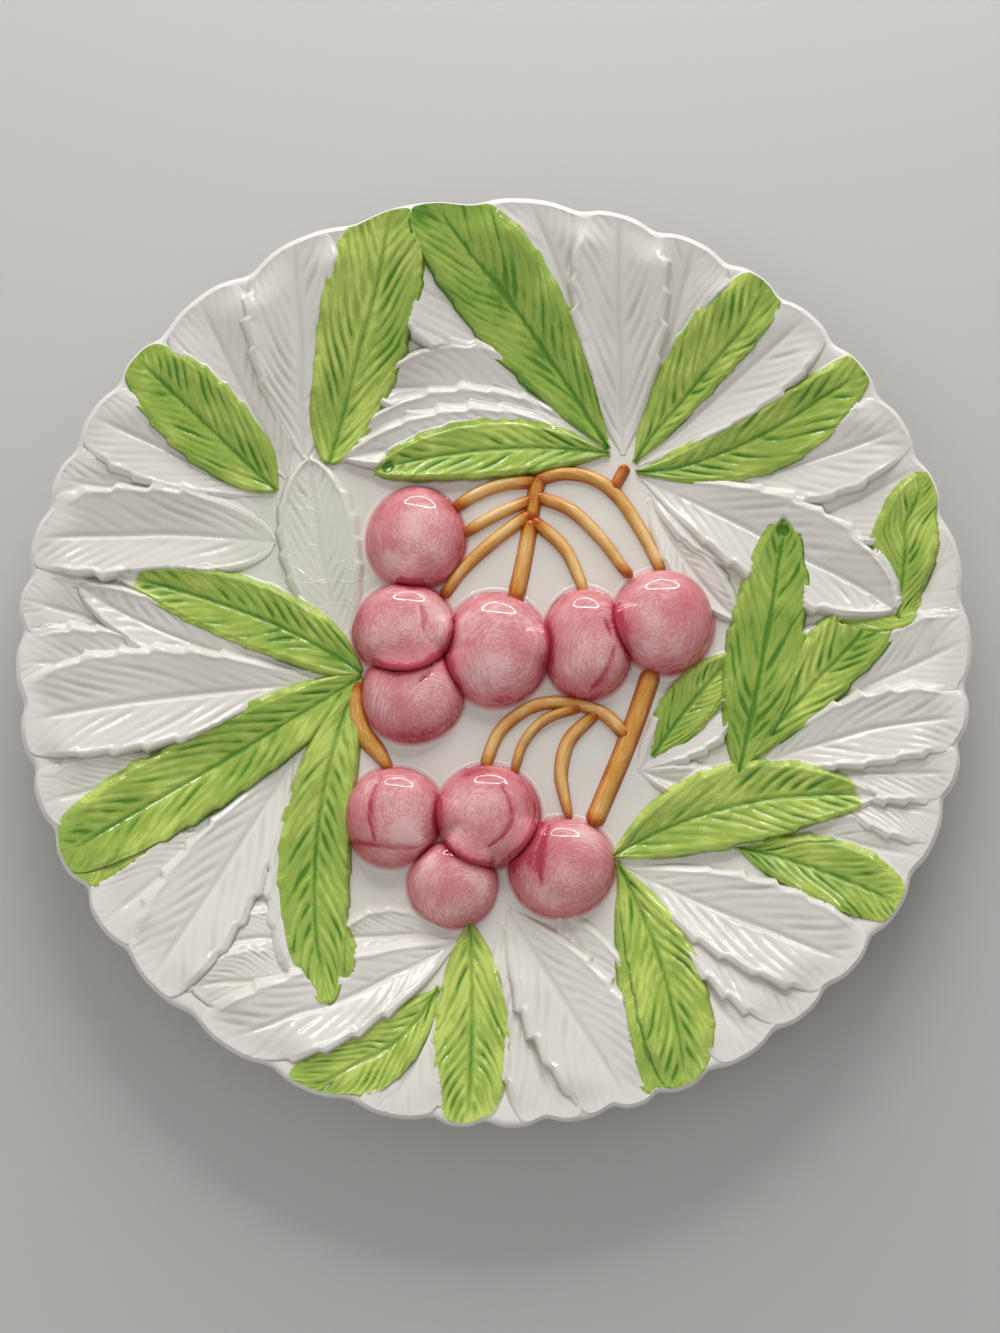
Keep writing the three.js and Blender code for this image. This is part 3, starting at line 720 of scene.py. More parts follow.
def skirt_shift(leaf, along, slope, past_end, past_side):
    """How far the points of the skirt lie forwards and to the left of the outline, square to it.

    The skirt is wider on edges that face the top of the decoration, where the clay was smoothed down.
    """
    reach = np.array(SKIRT_REACH)
    narrow = SKIRT_BASE + (1 - SKIRT_BASE) * smoothstep(*SKIRT_WIDENS, along)
    straight = 1 / np.hypot(1, slope)
    side_sign = np.sign(past_side)
    end_sign = np.sign(past_end)
    side_reach = reach[np.abs(past_side)] * narrow * (SKIRT_SPREAD + SKIRT_LEAN * side_sign * leaf.left[1])
    end_reach = reach[np.abs(past_end)] * narrow * (SKIRT_SPREAD + SKIRT_LEAN * end_sign * leaf.ahead[1])
    return end_sign * end_reach - side_reach * slope * straight, side_sign * side_reach * straight


def leaf_looks(leaf, along, groove, past_side, step, drop):
    """How far a leaf is painted, how deep its glaze pools in the grooves, and its pooled glaze and painted
    shade along the lower edge.
    """
    bare_tip = smoothstep(1 - leaf.bare - BARE_FADE, 1 - leaf.bare, along) * (leaf.bare > 0)
    pale_edge = leaf.pale * smoothstep(*PALE_STEPS, step / SKIRT_STEPS) * smoothstep(*PALE_START, along)
    # Painted shade, with pooled glaze, along the edges that face the bottom of the decoration, away from the
    # key lamp
    downhill = smoothstep(*DOWNHILL, -np.sign(past_side) * leaf.left[1]) * smoothstep(*FOOT_SHADE_START, along)
    foot_pool_and_shade = FOOT_POOL_AND_SHADE * downhill * bell(np.abs(past_side) - FOOT_SHADE_STEP, 1) * (past_side != 0)
    pooled_and_shaded = np.maximum(groove * (1 - drop) * GROOVE_POOL[leaf.colour], foot_pool_and_shade) + leaf.tone
    return (1 - pale_edge) * (1 - bare_tip), pooled_and_shaded


def leaf_back(x, y, vertex):
    """The underside of a leaf, bedded in the body: a few columns of the sheet, closed to its end rows."""
    chosen = np.arange(0, x.shape[1], BACK_STEP)
    inner_x = x[1:-1, chosen[1:-1]]
    inner_y = y[1:-1, chosen[1:-1]]
    points = as_points(inner_x, inner_y, body_top(np.hypot(inner_x, inner_y)) - BURIED)
    number = vertex[:, chosen].copy()
    number[1:-1, 1:-1] = vertex.size + np.arange(inner_x.size).reshape(inner_x.shape)
    middle = number[1:-1]
    quads = middle.ravel()[grid_faces(*middle.shape)[:, ::-1]]
    spans = chosen[:-1, None] + np.arange(BACK_STEP + 1)[None, :]
    first = np.c_[vertex[0][spans], number[1, 1:], number[1, :-1]]
    last = np.c_[number[-2, :-1], number[-2, 1:], vertex[-1][spans[:, ::-1]]]
    return points, quads, first, last


def make_leaf(leaves, index, material):
    """A sheet over along and across, with a skirt all round that flares on to what lies below, and a back."""
    leaf = leaves[index]
    stations = leaf_stations(leaf)
    slope = np.gradient(half_width(leaf, stations), stations * leaf.length)
    crowded = np.sin(np.linspace(-np.pi / 2, np.pi / 2, LEAF_COLUMNS))
    widths = COLUMN_MIX[0] * crowded + COLUMN_MIX[1] * np.linspace(-1, 1, LEAF_COLUMNS)
    stations, past_end = with_skirt(stations)
    widths, past_side = with_skirt(widths)
    slope = with_skirt(slope)[0][:, None]
    past_end = past_end[:, None]
    past_side = past_side[None, :]
    along, across = np.meshgrid(stations, widths, indexing="ij")
    x, y = leaf_plan(leaf, along, across)
    x, y = moved(leaf, x, y, *skirt_shift(leaf, along, slope, past_end, past_side))
    x, y = kept_inside_rim(x, y, RIM_MARGIN[leaf.colour])
    z = leaf_height(leaf, along, across, np.hypot(x, y))
    step = np.maximum(np.abs(past_end), np.abs(past_side))
    drop = np.array(SKIRT_DROP)[step]
    skirt = step > 0
    ground = z.copy()
    ground[skirt] = np.minimum(z[skirt], leaf_ground(leaves[index + 1:], x[skirt], y[skirt]))
    z = tucked_under(leaves[:index], x, y, z + (ground - z) * drop)
    z = np.where(step == SKIRT_STEPS, body_top(np.hypot(x, y)) - BURIED, z)
    back_points, *back = leaf_back(x, y, np.arange(x.size).reshape(x.shape))
    points = scalloped(np.concatenate([as_points(x, y, z), back_points]))

    groove, number, out = leaf_surface(leaf, along, across)[1:]
    paint, pooled_and_shaded = leaf_looks(leaf, along, groove, past_side, step, drop)
    from_rib = out * half_width(leaf, along) / STROKE_LENGTH
    stroke = np.c_[number.ravel(), from_rib.ravel(), np.full(x.size, STROKE_SHIFT * index)]
    unseen = np.zeros(len(back_points))
    attributes = {
        "stroke": np.concatenate([stroke, np.zeros_like(back_points)]),
        "groove": np.append(pooled_and_shaded, unseen),
        "paint": np.append(paint, unseen),
    }
    node = leaf.name if leaf.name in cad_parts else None
    name = leaf.name + ("_veined" if node else "")
    faces = [grid_faces(*x.shape), *back]
    make_piece(name, points, faces, material, node, attributes)


# Berries

@dataclass
class Berry:
    """A low dome: its centre in well radii, its half widths and height in berry sizes, and its creases.

    A crease runs from one point to another on the berry, in its half widths, with a bow to the left. A patch
    of darker colour has a centre, a radius and a strength; most are darker paint, and the one on
    berry_left_behind is painted shadow of berry_left above it. Brush is the point that the strokes run round.
    """

    name: str
    at: tuple
    half: tuple
    creases: tuple = ()
    brush: tuple = (0.1, -0.15)
    tall: float = 1.0
    patches: tuple = ()

    def __post_init__(self):
        """Works out the centre and half widths in millimetres."""
        self.centre = WELL_RADIUS * np.array(self.at)
        self.size = BERRY_RADIUS * BERRY_SPREAD * np.array(self.half)

    def radius_at(self, x, y):
        """Share of the way from the centre to the outline."""
        return np.hypot((x - self.centre[0]) / self.size[0], (y - self.centre[1]) / self.size[1])

    def dome(self, radius):
        """Height over the floor, before creases and neighbours, by the share of the way to the outline."""
        inside = np.maximum(0, 1 - np.minimum(1, radius) ** BERRY_ROUND)
        return BERRY_FOOT + BERRY_HEIGHT * self.tall * np.sqrt(inside)


# Berries, from the uppermost to the lowest
BERRIES = [
    Berry("berry_top_left", (-0.315, 0.465), (1, 1.11), brush=(0.1, 0.05), patches=((-0.7, -0.2, 0.4, 0.2),)),
    Berry("berry_left", (-0.36, 0.085), (1.03, 1), (((0.36, 0.3), (0.4, -0.1), 0.02),), (-0.05, 0.0),
          patches=((-0.9, 0.2, 0.25, 0.4), (0.1, -0.5, 0.5, 0.15))),
    Berry("berry_centre", (0.01, 0.005), (1.07, 1.2), brush=(0.2, -0.2),
          patches=((-0.8, -0.2, 0.35, 0.35), (0.2, 0.1, 0.4, 0.1))),
    Berry("berry_right", (0.68, 0.12), (1.03, 1.1), brush=(-0.1, -0.1), patches=((-0.8, -0.2, 0.3, 0.45),)),
    Berry("berry_right_inner", (0.37, 0.025), (0.92, 1.17),
          (((0.58, -0.18), (0.1, -0.82), 0.08), ((0.4, 0.3), (0.5, 0.1), 0.0)), (0.5, -0.3), 0.95,
          patches=((-0.75, 0.1, 0.5, 0.6), (-0.3, 0.7, 0.4, 0.35))),
    Berry("berry_lower_middle", (-0.025, -0.67), (1.03, 1.07),
          (((0.28, 0.44), (0.03, -0.63), 0.3),), (-0.1, 0.0),
          patches=((-0.3, 0.85, 0.28, 0.7), (-0.15, -0.2, 0.4, 0.2), (-0.9, 0, 0.25, 0.4))),
    Berry("berry_lower_left", (-0.395, -0.67), (1.0, 1),
          (((-0.26, 0.7), (-0.36, -0.55), -0.14), ((-0.72, -0.57), (0.46, -0.7), -0.06)), (0.3, 0.1),
          patches=((-0.55, 0.1, 0.4, 0.3), (0.85, -0.1, 0.3, 0.35))),
    Berry("berry_lower_right", (0.265, -0.87), (1.05, 1),
          (((-0.27, 0.72), (-0.41, -0.41), -0.1),), (0.25, -0.3),
          patches=((-0.6, 0.1, 0.4, 0.5), (-0.2, 0.6, 0.35, 0.3), (0.3, -0.7, 0.4, 0.2))),
    # The patch at the top of this berry is painted shadow of berry_left, which lies over it
    Berry("berry_left_behind", (-0.325, -0.175), (1.03, 1.03),
          (((0.2, 0.15), (0.36, 0.3), 0.0),), (0.4, -0.5), 0.85, patches=((-0.1, 0.5, 0.4, 0.3),)),
    Berry("berry_lower_behind", (-0.16, -0.935), (0.9, 0.87), brush=(0.3, -0.4), tall=0.85,
          patches=((-0.1, 0.65, 0.22, 0.8),)),
]


def crease_mask(x, y, creases):
    """1 along each crease, a bowed run between two points, falling off as a bell to its sides and ends.

    The left side falls off more slowly than the right.
    """
    mask = np.zeros_like(x)
    for start, end, bow in creases:
        run = np.subtract(end, start)
        length = math.hypot(*run)
        ahead = run / length
        share = ((x - start[0]) * ahead[0] + (y - start[1]) * ahead[1]) / length
        sideways = (y - start[1]) * ahead[0] - (x - start[0]) * ahead[1]
        inside = np.clip(share, 0, 1)
        off = sideways - bow * 4 * inside * (1 - inside)
        past = (share - inside) * length
        width = CREASE_WIDTH * (0.5 + 2 * inside * (1 - inside)) * np.where(off > 0, CREASE_LEFT, 1)
        mask = np.maximum(mask, bell(off, width) * bell(past, CREASE_END))
    return mask


def patch_mask(x, y, patches):
    """The sum of bells of darker colour, each with its own centre, radius and strength: paint, and painted
    shadow on berry_left_behind.
    """
    mask = np.zeros_like(x)
    for across, up, radius, strength in patches:
        mask += strength * bell(np.hypot(x - across, y - up), radius)
    return mask


def make_berry(berries, index, material):
    """A dome h * sqrt(1 - r^2.3) on an oval, raised on to the berries below and pressed under those above.

    A cove of glaze runs out round it over the floor.
    """
    berry = berries[index]
    radius = np.append(np.sin(np.linspace(0, np.pi / 2, BERRY_ROWS))[1:], FOOT_RINGS)[:, None]
    turn = np.linspace(0, 2 * np.pi, BERRY_COLUMNS, endpoint=False)[None, :]
    wobble = 1 + WOBBLE_OVAL * np.cos(2 * turn + berry.at[0] * WOBBLE_TURN[0])
    wobble = wobble + WOBBLE_THREE * np.cos(3 * turn + berry.at[1] * WOBBLE_TURN[1])
    local_x = radius * np.cos(turn) * wobble
    local_y = radius * np.sin(turn) * wobble
    x = berry.centre[0] + berry.size[0] * local_x
    y = berry.centre[1] + berry.size[1] * local_y
    edge = BERRY_ROWS - 2
    raised = np.zeros_like(turn)
    for lower in berries[index + 1:]:
        below = lower.radius_at(x[edge], y[edge])
        raised = np.maximum(raised, np.where(below < 1, lower.dome(below) - BERRY_FOOT, 0))
    crease = crease_mask(local_x, local_y, berry.creases)
    z = berry.dome(radius) + raised * np.minimum(1, radius) ** RAISE_POWER - CREASE_DEPTH * crease
    z = np.where(radius > 1, np.interp(radius, FOOT_RINGS, FOOT_HEIGHTS), z)
    # Painted shade round the edge of a berry where it sits on a lower one, and on a berry beside the edge of
    # one above
    meeting_shade = bell(radius - 1, MEETING_WIDTH) * smoothstep(*MEETING_RISE, raised)
    for upper in berries[:index]:
        above = upper.radius_at(x, y)
        z = np.where(above < PRESSED, np.minimum(z, upper.dome(above) - BERRY_GAP), z)
        beside = bell(np.maximum(0, above - 1), MEETING_WIDTH) * (radius < MEETING_LIMIT)
        meeting_shade = np.maximum(meeting_shade, beside)
    z = body_top(np.hypot(x, y)) + np.maximum(z, -BURIED)
    rings = as_points(x, y, z)
    crown = [*berry.centre, body_top(math.hypot(*berry.centre)) + BERRY_FOOT + BERRY_HEIGHT * berry.tall]
    points = np.concatenate([rings, [crown]])
    quads = grid_faces(*x.shape, closed_columns=True)
    cap = fan_faces(len(rings), 0, BERRY_COLUMNS)
    back = np.arange(len(rings) - BERRY_COLUMNS, len(rings))[None, ::-1]

    from_brush_x = np.append(local_x, 0) - berry.brush[0]
    from_brush_y = np.append(local_y, 0) - berry.brush[1]
    swirl = np.hypot(from_brush_x, from_brush_y)
    angle = np.arctan2(from_brush_y, from_brush_x)
    bend = SWIRL_RADIUS * np.minimum(1, swirl / SWIRL_EYE)
    outward = swirl * SWIRL_PITCH + SWIRL_SHIFT * index
    dark = np.maximum(CREASE_PAINT * crease, MEETING_SHADE * meeting_shade)
    dark = dark + patch_mask(local_x, local_y, berry.patches)
    attributes = {
        "stroke": np.c_[bend * np.cos(angle), bend * np.sin(angle), outward],
        "groove": np.append(dark, 0),
        "edge": np.append(np.broadcast_to(radius, x.shape), 0),
    }
    faces = [quads, cap, back]
    make_piece(berry.name + "_domed", points, faces, material, berry.name, attributes)


# Stems

@dataclass
class Stem:
    """A stem on the floor of the well: its points, in well radii, and its width in stem widths.

    Taper is the share of the width that is lost towards the far end, swell how much wider the middle is than
    the ends, and stain how dark the whole stem is painted.
    """

    points: list
    width: float = 0.9
    taper: float = 0.15
    swell: float = 0.0
    stain: float = 0.0


STEM_GROUPS = {
    "stem_spray_upper": [
        Stem([(0.185, 0.735), (0.165, 0.65), (0.15, 0.54)], 1.1, 0.1, stain=0.55),
        Stem([(0.175, 0.71), (0.04, 0.7), (-0.075, 0.655), (-0.17, 0.59)], 1),
        Stem([(0.16, 0.635), (0.02, 0.575), (-0.14, 0.48)], 0.9),
        Stem([(0.15, 0.575), (0, 0.46), (-0.125, 0.34), (-0.21, 0.22)], 0.95),
        Stem([(0.15, 0.55), (0.12, 0.375), (0.08, 0.19)], 1.1, -0.1),
        Stem([(0.15, 0.55), (0.275, 0.44), (0.34, 0.31), (0.37, 0.205)], 0.95, 0.25),
        Stem([(0.16, 0.65), (0.31, 0.59), (0.44, 0.46), (0.51, 0.36), (0.555, 0.305)], 0.95, 0.25),
        Stem([(0.16, 0.71), (0.275, 0.745), (0.4, 0.725), (0.5, 0.65), (0.59, 0.51), (0.65, 0.39),
              (0.675, 0.32)], 1, 0.2),
        Stem([(0.48, 0.665), (0.54, 0.78)], 0.8, -0.1, stain=0.5),
    ],
    "stem_spray_lower": [
        Stem([(0.635, -0.07), (0.565, -0.275), (0.5, -0.44), (0.385, -0.71)], 1.35, 0.05, stain=0.2),
        Stem([(0.54, -0.36), (0.44, -0.26), (0.34, -0.22), (0.225, -0.21), (0.125, -0.24), (0.025, -0.325),
              (-0.025, -0.44), (-0.025, -0.49)], 0.95, 0.1),
        Stem([(0.35, -0.225), (0.21, -0.275), (0.125, -0.36), (0.09, -0.45), (0.08, -0.51)], 0.75, 0.2),
        Stem([(0.41, -0.25), (0.3, -0.36), (0.265, -0.49), (0.28, -0.6), (0.3, -0.69)], 0.9, 0.3, 0.3),
    ],
    "stem_left": [
        Stem([(-0.54, -0.125), (-0.55, -0.225), (-0.525, -0.325), (-0.46, -0.41), (-0.405, -0.49)],
             1.0, 0.1, 0.8, 0.26),
    ],
}


def smooth_run(points, count):
    """A curve through points: Catmull-Rom cubics with mirrored ends, at equal steps of the parameter."""
    points = np.asarray(points, float)
    padded = np.concatenate([[2 * points[0] - points[1]], points, [2 * points[-1] - points[-2]]])
    place = np.linspace(0, len(points) - 1, count)
    index = np.minimum(place.astype(int), len(points) - 2)
    t = (place - index)[:, None]
    a, b, c, d = (padded[index + k] for k in range(4))
    square = (2 * a - 5 * b + 4 * c - d) * t ** 2
    cube = (3 * b - a - 3 * c + d) * t ** 3
    return 0.5 * (2 * b + (c - a) * t + square + cube)


def stem_mesh(stem, offset):
    """An arch h * (1 - u^2.2)^0.7 carried along a run on the floor, with rounded ends and a flat back."""
    path = WELL_RADIUS * smooth_run(stem.points, STEM_ROWS)
    ahead = np.gradient(path, axis=0)
    ahead /= np.hypot(ahead[:, 0], ahead[:, 1])[:, None]
    left = np.c_[-ahead[:, 1], ahead[:, 0]]
    distance = np.append(0, np.cumsum(np.hypot(*np.diff(path, axis=0).T)))
    share = distance / distance[-1]
    to_end = np.minimum(distance, distance[-1] - distance)
    width = STEM_WIDTH * stem.width
    round_end = np.sqrt(np.clip(1 - (1 - np.clip(to_end / (width / 2), 0, 1)) ** 2, STEM_LEAST_END, 1))
    shape = 1 - stem.taper * share ** 2 + stem.swell * (4 * share * (1 - share) - 0.5)
    wide = (width * shape * round_end)[:, None]
    over = np.sin(np.linspace(-np.pi / 2, np.pi / 2, STEM_COLUMNS))
    across = np.concatenate([[-STEM_FOOT], over, [STEM_FOOT]])[None, :]
    arch = np.maximum(0, 1 - np.abs(across) ** STEM_ARCH[0]) ** STEM_ARCH[1]
    plan = path[:, None, :] + left[:, None, :] * (across * wide / 2)[:, :, None]
    foot = np.where(np.abs(across) > 1, -BURIED, STEM_BED)
    height = FLOOR_HEIGHT + foot + STEM_HEIGHT * arch * round_end[:, None]
    points = np.concatenate([plan, height[:, :, None]], axis=-1).reshape(-1, 3)
    vertex = offset + np.arange(height.size).reshape(height.shape)
    quads = offset + grid_faces(*height.shape)
    back = np.c_[vertex[:-1, 0], vertex[:-1, -1], vertex[1:, -1], vertex[1:, 0]]
    ends = np.concatenate([vertex[:1, ::-1], vertex[-1:, :]])
    dark = np.maximum(bell(to_end, STAIN_LENGTH), stem.stain)
    columns = across.size
    stroke = [np.repeat(distance / STEM_STROKE[0], columns), np.tile(across[0] * STEM_STROKE[1], STEM_ROWS),
              np.full(height.size, offset * STROKE_OFFSET)]
    attributes = {
        "stroke": np.stack(stroke, axis=-1),
        "groove": np.repeat(dark, columns),
        "edge": np.tile(np.abs(across[0]), STEM_ROWS),
    }
    return points, np.concatenate([quads, back]), ends, attributes


def make_stems(name, stems, material):
    """All the stems of one group as one piece."""
    parts = []
    offset = 0
    for stem in stems:
        parts.append(stem_mesh(stem, offset))
        offset += len(parts[-1][0])
    points, quads, ends = (np.concatenate([part[k] for part in parts]) for k in range(3))
    attributes = {key: np.concatenate([part[3][key] for part in parts]) for key in parts[0][3]}
    make_piece(name + "_round", points, [quads, ends], material, name, attributes)


# Materials

def srgb(red, green, blue):
    """A colour given as it looks on screen, 0 to 255, as linear light with full cover."""
    values = np.array([red, green, blue]) / 255
    linear = np.where(values <= 0.04045, values / 12.92, ((values + 0.055) / 1.055) ** 2.4)
    return (*linear.tolist(), 1.0)


def add_node(tree, kind, inputs=None, **settings):
    """A shader node with its settings, and inputs by name or number: values or other nodes' sockets."""
    made = tree.nodes.new(kind)
    for key, value in settings.items():
        setattr(made, key, value)
    for key, value in (inputs or {}).items():
        if isinstance(value, bpy.types.NodeSocket):
            tree.links.new(value, made.inputs[key])
        else:
            made.inputs[key].default_value = value
    return made


def add_math(tree, operation, first, second):
    """One sum of two values."""
    return add_node(tree, "ShaderNodeMath", {0: first, 1: second}, operation=operation).outputs[0]


def add_up(tree, total, *others):
    """Values added one after another."""
    for other in others:
        total = add_math(tree, "ADD", total, other)
    return total


def add_mix(tree, share, first, second):
    """A colour between two others."""
    return add_node(tree, "ShaderNodeMix", {0: share, 6: first, 7: second}, data_type="RGBA").outputs[2]


def add_range(tree, value, low, high, to_low=0.0, to_high=1.0, easing="SMOOTHSTEP"):
    """A value brought from one range to another, eased at both ends or not."""
    ranged = {"Value": value, "From Min": low, "From Max": high, "To Min": to_low, "To Max": to_high}
    return add_node(tree, "ShaderNodeMapRange", ranged, interpolation_type=easing).outputs["Result"]


def add_noise(tree, place, scale, detail, roughness=0.5):
    """Noise at a place, as a value and as a colour."""
    inputs = {"Vector": place, "Scale": scale, "Detail": detail, "Roughness": roughness}
    return add_node(tree, "ShaderNodeTexNoise", inputs).outputs


def object_place(tree):
    """The place on the object, in metres."""
    return add_node(tree, "ShaderNodeTexCoord").outputs["Object"]


def attribute(tree, name, field="Fac"):
    """A value that the mesh carries."""
    return add_node(tree, "ShaderNodeAttribute", attribute_name=name).outputs[field]


def new_group(name, inputs, outputs):
    """An empty node group with named sockets: its tree, the sockets it is given and those it fills."""
    tree = bpy.data.node_groups.new(name, "ShaderNodeTree")
    for side, sockets in (("INPUT", inputs), ("OUTPUT", outputs)):
        for kind, names in sockets.items():
            for socket in names:
                tree.interface.new_socket(socket, in_out=side, socket_type="NodeSocket" + kind)
    return tree, tree.nodes.new("NodeGroupInput").outputs, tree.nodes.new("NodeGroupOutput").inputs


def place_group(tree, group, inputs):
    """One use of a node group, with its own values."""
    return add_node(tree, "ShaderNodeGroup", inputs, node_tree=group).outputs


def make_ripple_group():
    """Glaze ripple: a soft unevenness that the glaze dries with, as bump height and as roughness."""
    outputs = {"Float": ["Height", "Roughness"]}
    tree, given, made = new_group("Glaze ripple", {"Float": ["Scale", "Gloss"]}, outputs)
    soft = add_noise(tree, object_place(tree), given["Scale"], detail=3.0)[0]
    tree.links.new(soft, made["Height"])
    tree.links.new(add_up(tree, add_math(tree, "MULTIPLY", soft, 0.06), given["Gloss"]), made["Roughness"])
    return tree


def make_paint_group():
    """Brushed paint: light on the ridges, dark in the grooves, with streaks along the brush strokes."""
    inputs = {
        "Color": ["Light", "Middle", "Dark"],
        "Float": ["Depth", "Streaks", "Blotches", "Scale"],
        "Vector": ["Stroke"],
    }
    tree, given, made = new_group("Brushed paint", inputs, {"Color": ["Color"]})
    fine = add_noise(tree, given["Stroke"], given["Scale"], detail=4.0, roughness=0.65)[0]
    broad = add_noise(tree, object_place(tree), scale=55.0, detail=2.0)[0]
    streak = add_math(tree, "MULTIPLY", add_math(tree, "SUBTRACT", fine, 0.5), given["Streaks"])
    blotch = add_math(tree, "MULTIPLY", add_math(tree, "SUBTRACT", broad, 0.5), given["Blotches"])
    depth = add_up(tree, given["Depth"], streak, blotch)
    lower = add_mix(tree, add_range(tree, depth, 0.0, 0.5), given["Light"], given["Middle"])
    colour = add_mix(tree, add_range(tree, depth, 0.5, 1.0), lower, given["Dark"])
    tree.links.new(colour, made["Color"])
    return tree


def make_crazing_group():
    """Crazing: fine cracks in the glaze, the edges of cells bent by noise, stronger in patches."""
    tree, given, made = new_group("Crazing", {"Float": ["Scale", "Width"]}, {"Float": ["Mask"]})
    place = object_place(tree)
    bend = add_noise(tree, place, scale=90.0, detail=2.0)["Color"]
    shift = add_node(tree, "ShaderNodeVectorMath", {0: bend, 3: 0.006}, operation="SCALE").outputs[0]
    bent = add_node(tree, "ShaderNodeVectorMath", {0: place, 1: shift}, operation="ADD").outputs[0]
    inputs = {"Vector": bent, "Scale": given["Scale"]}
    cells = add_node(tree, "ShaderNodeTexVoronoi", inputs, feature="DISTANCE_TO_EDGE").outputs["Distance"]
    near = add_range(tree, cells, 0.0, given["Width"], 1.0, 0.0, "LINEAR")
    patch = add_range(tree, add_noise(tree, place, scale=32.0, detail=1.0)[0], 0.45, 0.62)
    tree.links.new(add_math(tree, "MULTIPLY", near, patch), made["Mask"])
    return tree


RIPPLE = make_ripple_group()
PAINT = make_paint_group()
CRAZING = make_crazing_group()
GLAZE_IOR = 1.52
RIPPLE_DISTANCE = 0.0005


def new_material(name):
    """A material with nodes: itself, its tree and its shader."""
    material = bpy.data.materials.new(name)
    material.use_nodes = True
    return material, material.node_tree, material.node_tree.nodes["Principled BSDF"]


def new_glaze(name, ripple_scale, gloss, ripple_depth=0.4):
    """A glazed material, its tree and its shader, with ripple already in the bump and the roughness."""
    material, tree, shader = new_material(name)
    shader.inputs["IOR"].default_value = GLAZE_IOR
    ripple = place_group(tree, RIPPLE, {"Scale": ripple_scale, "Gloss": gloss})
    inputs = {"Height": ripple["Height"], "Strength": ripple_depth, "Distance": RIPPLE_DISTANCE}
    tree.links.new(add_node(tree, "ShaderNodeBump", inputs).outputs[0], shader.inputs["Normal"])
    tree.links.new(ripple["Roughness"], shader.inputs["Roughness"])
    return material, tree, shader


def brushed(tree, depth, light, middle, dark, streaks, blotches, scale):
    """Colour of brushed paint, along the strokes that the mesh carries."""
    stroke = attribute(tree, "stroke", "Vector")
    inputs = {
        "Light": srgb(*light), "Middle": srgb(*middle), "Dark": srgb(*dark), "Depth": depth,
        "Streaks": streaks, "Blotches": blotches, "Scale": scale, "Stroke": stroke,
    }
    return place_group(tree, PAINT, inputs)["Color"]


WHITE_THIN = srgb(229, 225, 217)
# Pooled glaze in the grooves, and painted shade along the leaves' lower edges
WHITE_POOLED_AND_SHADED = srgb(176, 169, 154)
WHITE_CRAZED = srgb(206, 209, 192)
CRAZE_LINE = srgb(240, 237, 230)
CRAZED_LEAF_PLACE = (-0.058, 0.032, 0.012)
CRAZED_REACH = (0.018, 0.036)
CRAZED_AMOUNT = 0.6
CRAZED_LEAST = 0.03
CRAZE_SHOWING = 0.9


def white_looks(tree):
    """Colour and cracks of the white glaze: darker where it pools and with painted shade on the leaves' lower
    edges, greener and crazed left of the well.
    """
    place = object_place(tree)
    broad = add_noise(tree, place, scale=28.0, detail=3.0)[0]
    pooled_and_shaded = add_math(tree, "MULTIPLY", attribute(tree, "groove"), 0.8)
    clouded = add_up(tree, pooled_and_shaded, add_range(tree, broad, 0.35, 0.75, 0.0, 0.16))
    base = add_mix(tree, clouded, WHITE_THIN, WHITE_POOLED_AND_SHADED)
    cracks = place_group(tree, CRAZING, {"Scale": 160.0, "Width": 0.038})["Mask"]
    away = add_node(tree, "ShaderNodeVectorMath", {0: place, 1: CRAZED_LEAF_PLACE}, operation="DISTANCE")
    close = add_range(tree, away.outputs["Value"], *CRAZED_REACH, CRAZED_AMOUNT, CRAZED_LEAST)
    tinted = add_mix(tree, add_math(tree, "SUBTRACT", close, CRAZED_LEAST), base, WHITE_CRAZED)
    lines = add_math(tree, "MULTIPLY", add_math(tree, "MULTIPLY", cracks, close), CRAZE_SHOWING)
    return add_mix(tree, lines, tinted, CRAZE_LINE), lines


def make_white():
    """White glaze of the body and of the white leaves."""
    material, tree, shader = new_glaze("white_glaze_gloss", ripple_scale=85.0, gloss=0.09)
    colour, lines = white_looks(tree)
    tree.links.new(colour, shader.inputs["Base Color"])
    rippled = shader.inputs["Normal"].links[0].from_socket
    inputs = {"Height": lines, "Strength": 0.6, "Distance": 0.0004, "Normal": rippled}
    tree.links.new(add_node(tree, "ShaderNodeBump", inputs).outputs[0], shader.inputs["Normal"])
    return material


def make_green():
    """Green brushed along the veins, thin on the ridges, darker with painted shade on lower edges, and white
    where the brush left the edge bare.
    """
    material, tree, shader = new_glaze("green_glaze_brushed", ripple_scale=150.0, gloss=0.06)
    # The groove value carries pooled glaze and painted shade along the lower edges into the paint
    depth = add_up(tree, add_math(tree, "MULTIPLY", attribute(tree, "groove"), 1.25), 0.32)
    paint = brushed(tree, depth, light=(198, 216, 108), middle=(150, 177, 74), dark=(84, 135, 32),
                    streaks=1.2, blotches=1.1, scale=2.4)
    ragged = add_noise(tree, object_place(tree), scale=130.0, detail=3.0)[0]
    cover = add_up(tree, attribute(tree, "paint"), add_math(tree, "SUBTRACT", ragged, 0.5))
    colour = add_mix(tree, add_range(tree, cover, 0.15, 0.5), WHITE_THIN, paint)
    tree.links.new(colour, shader.inputs["Base Color"])
    return material


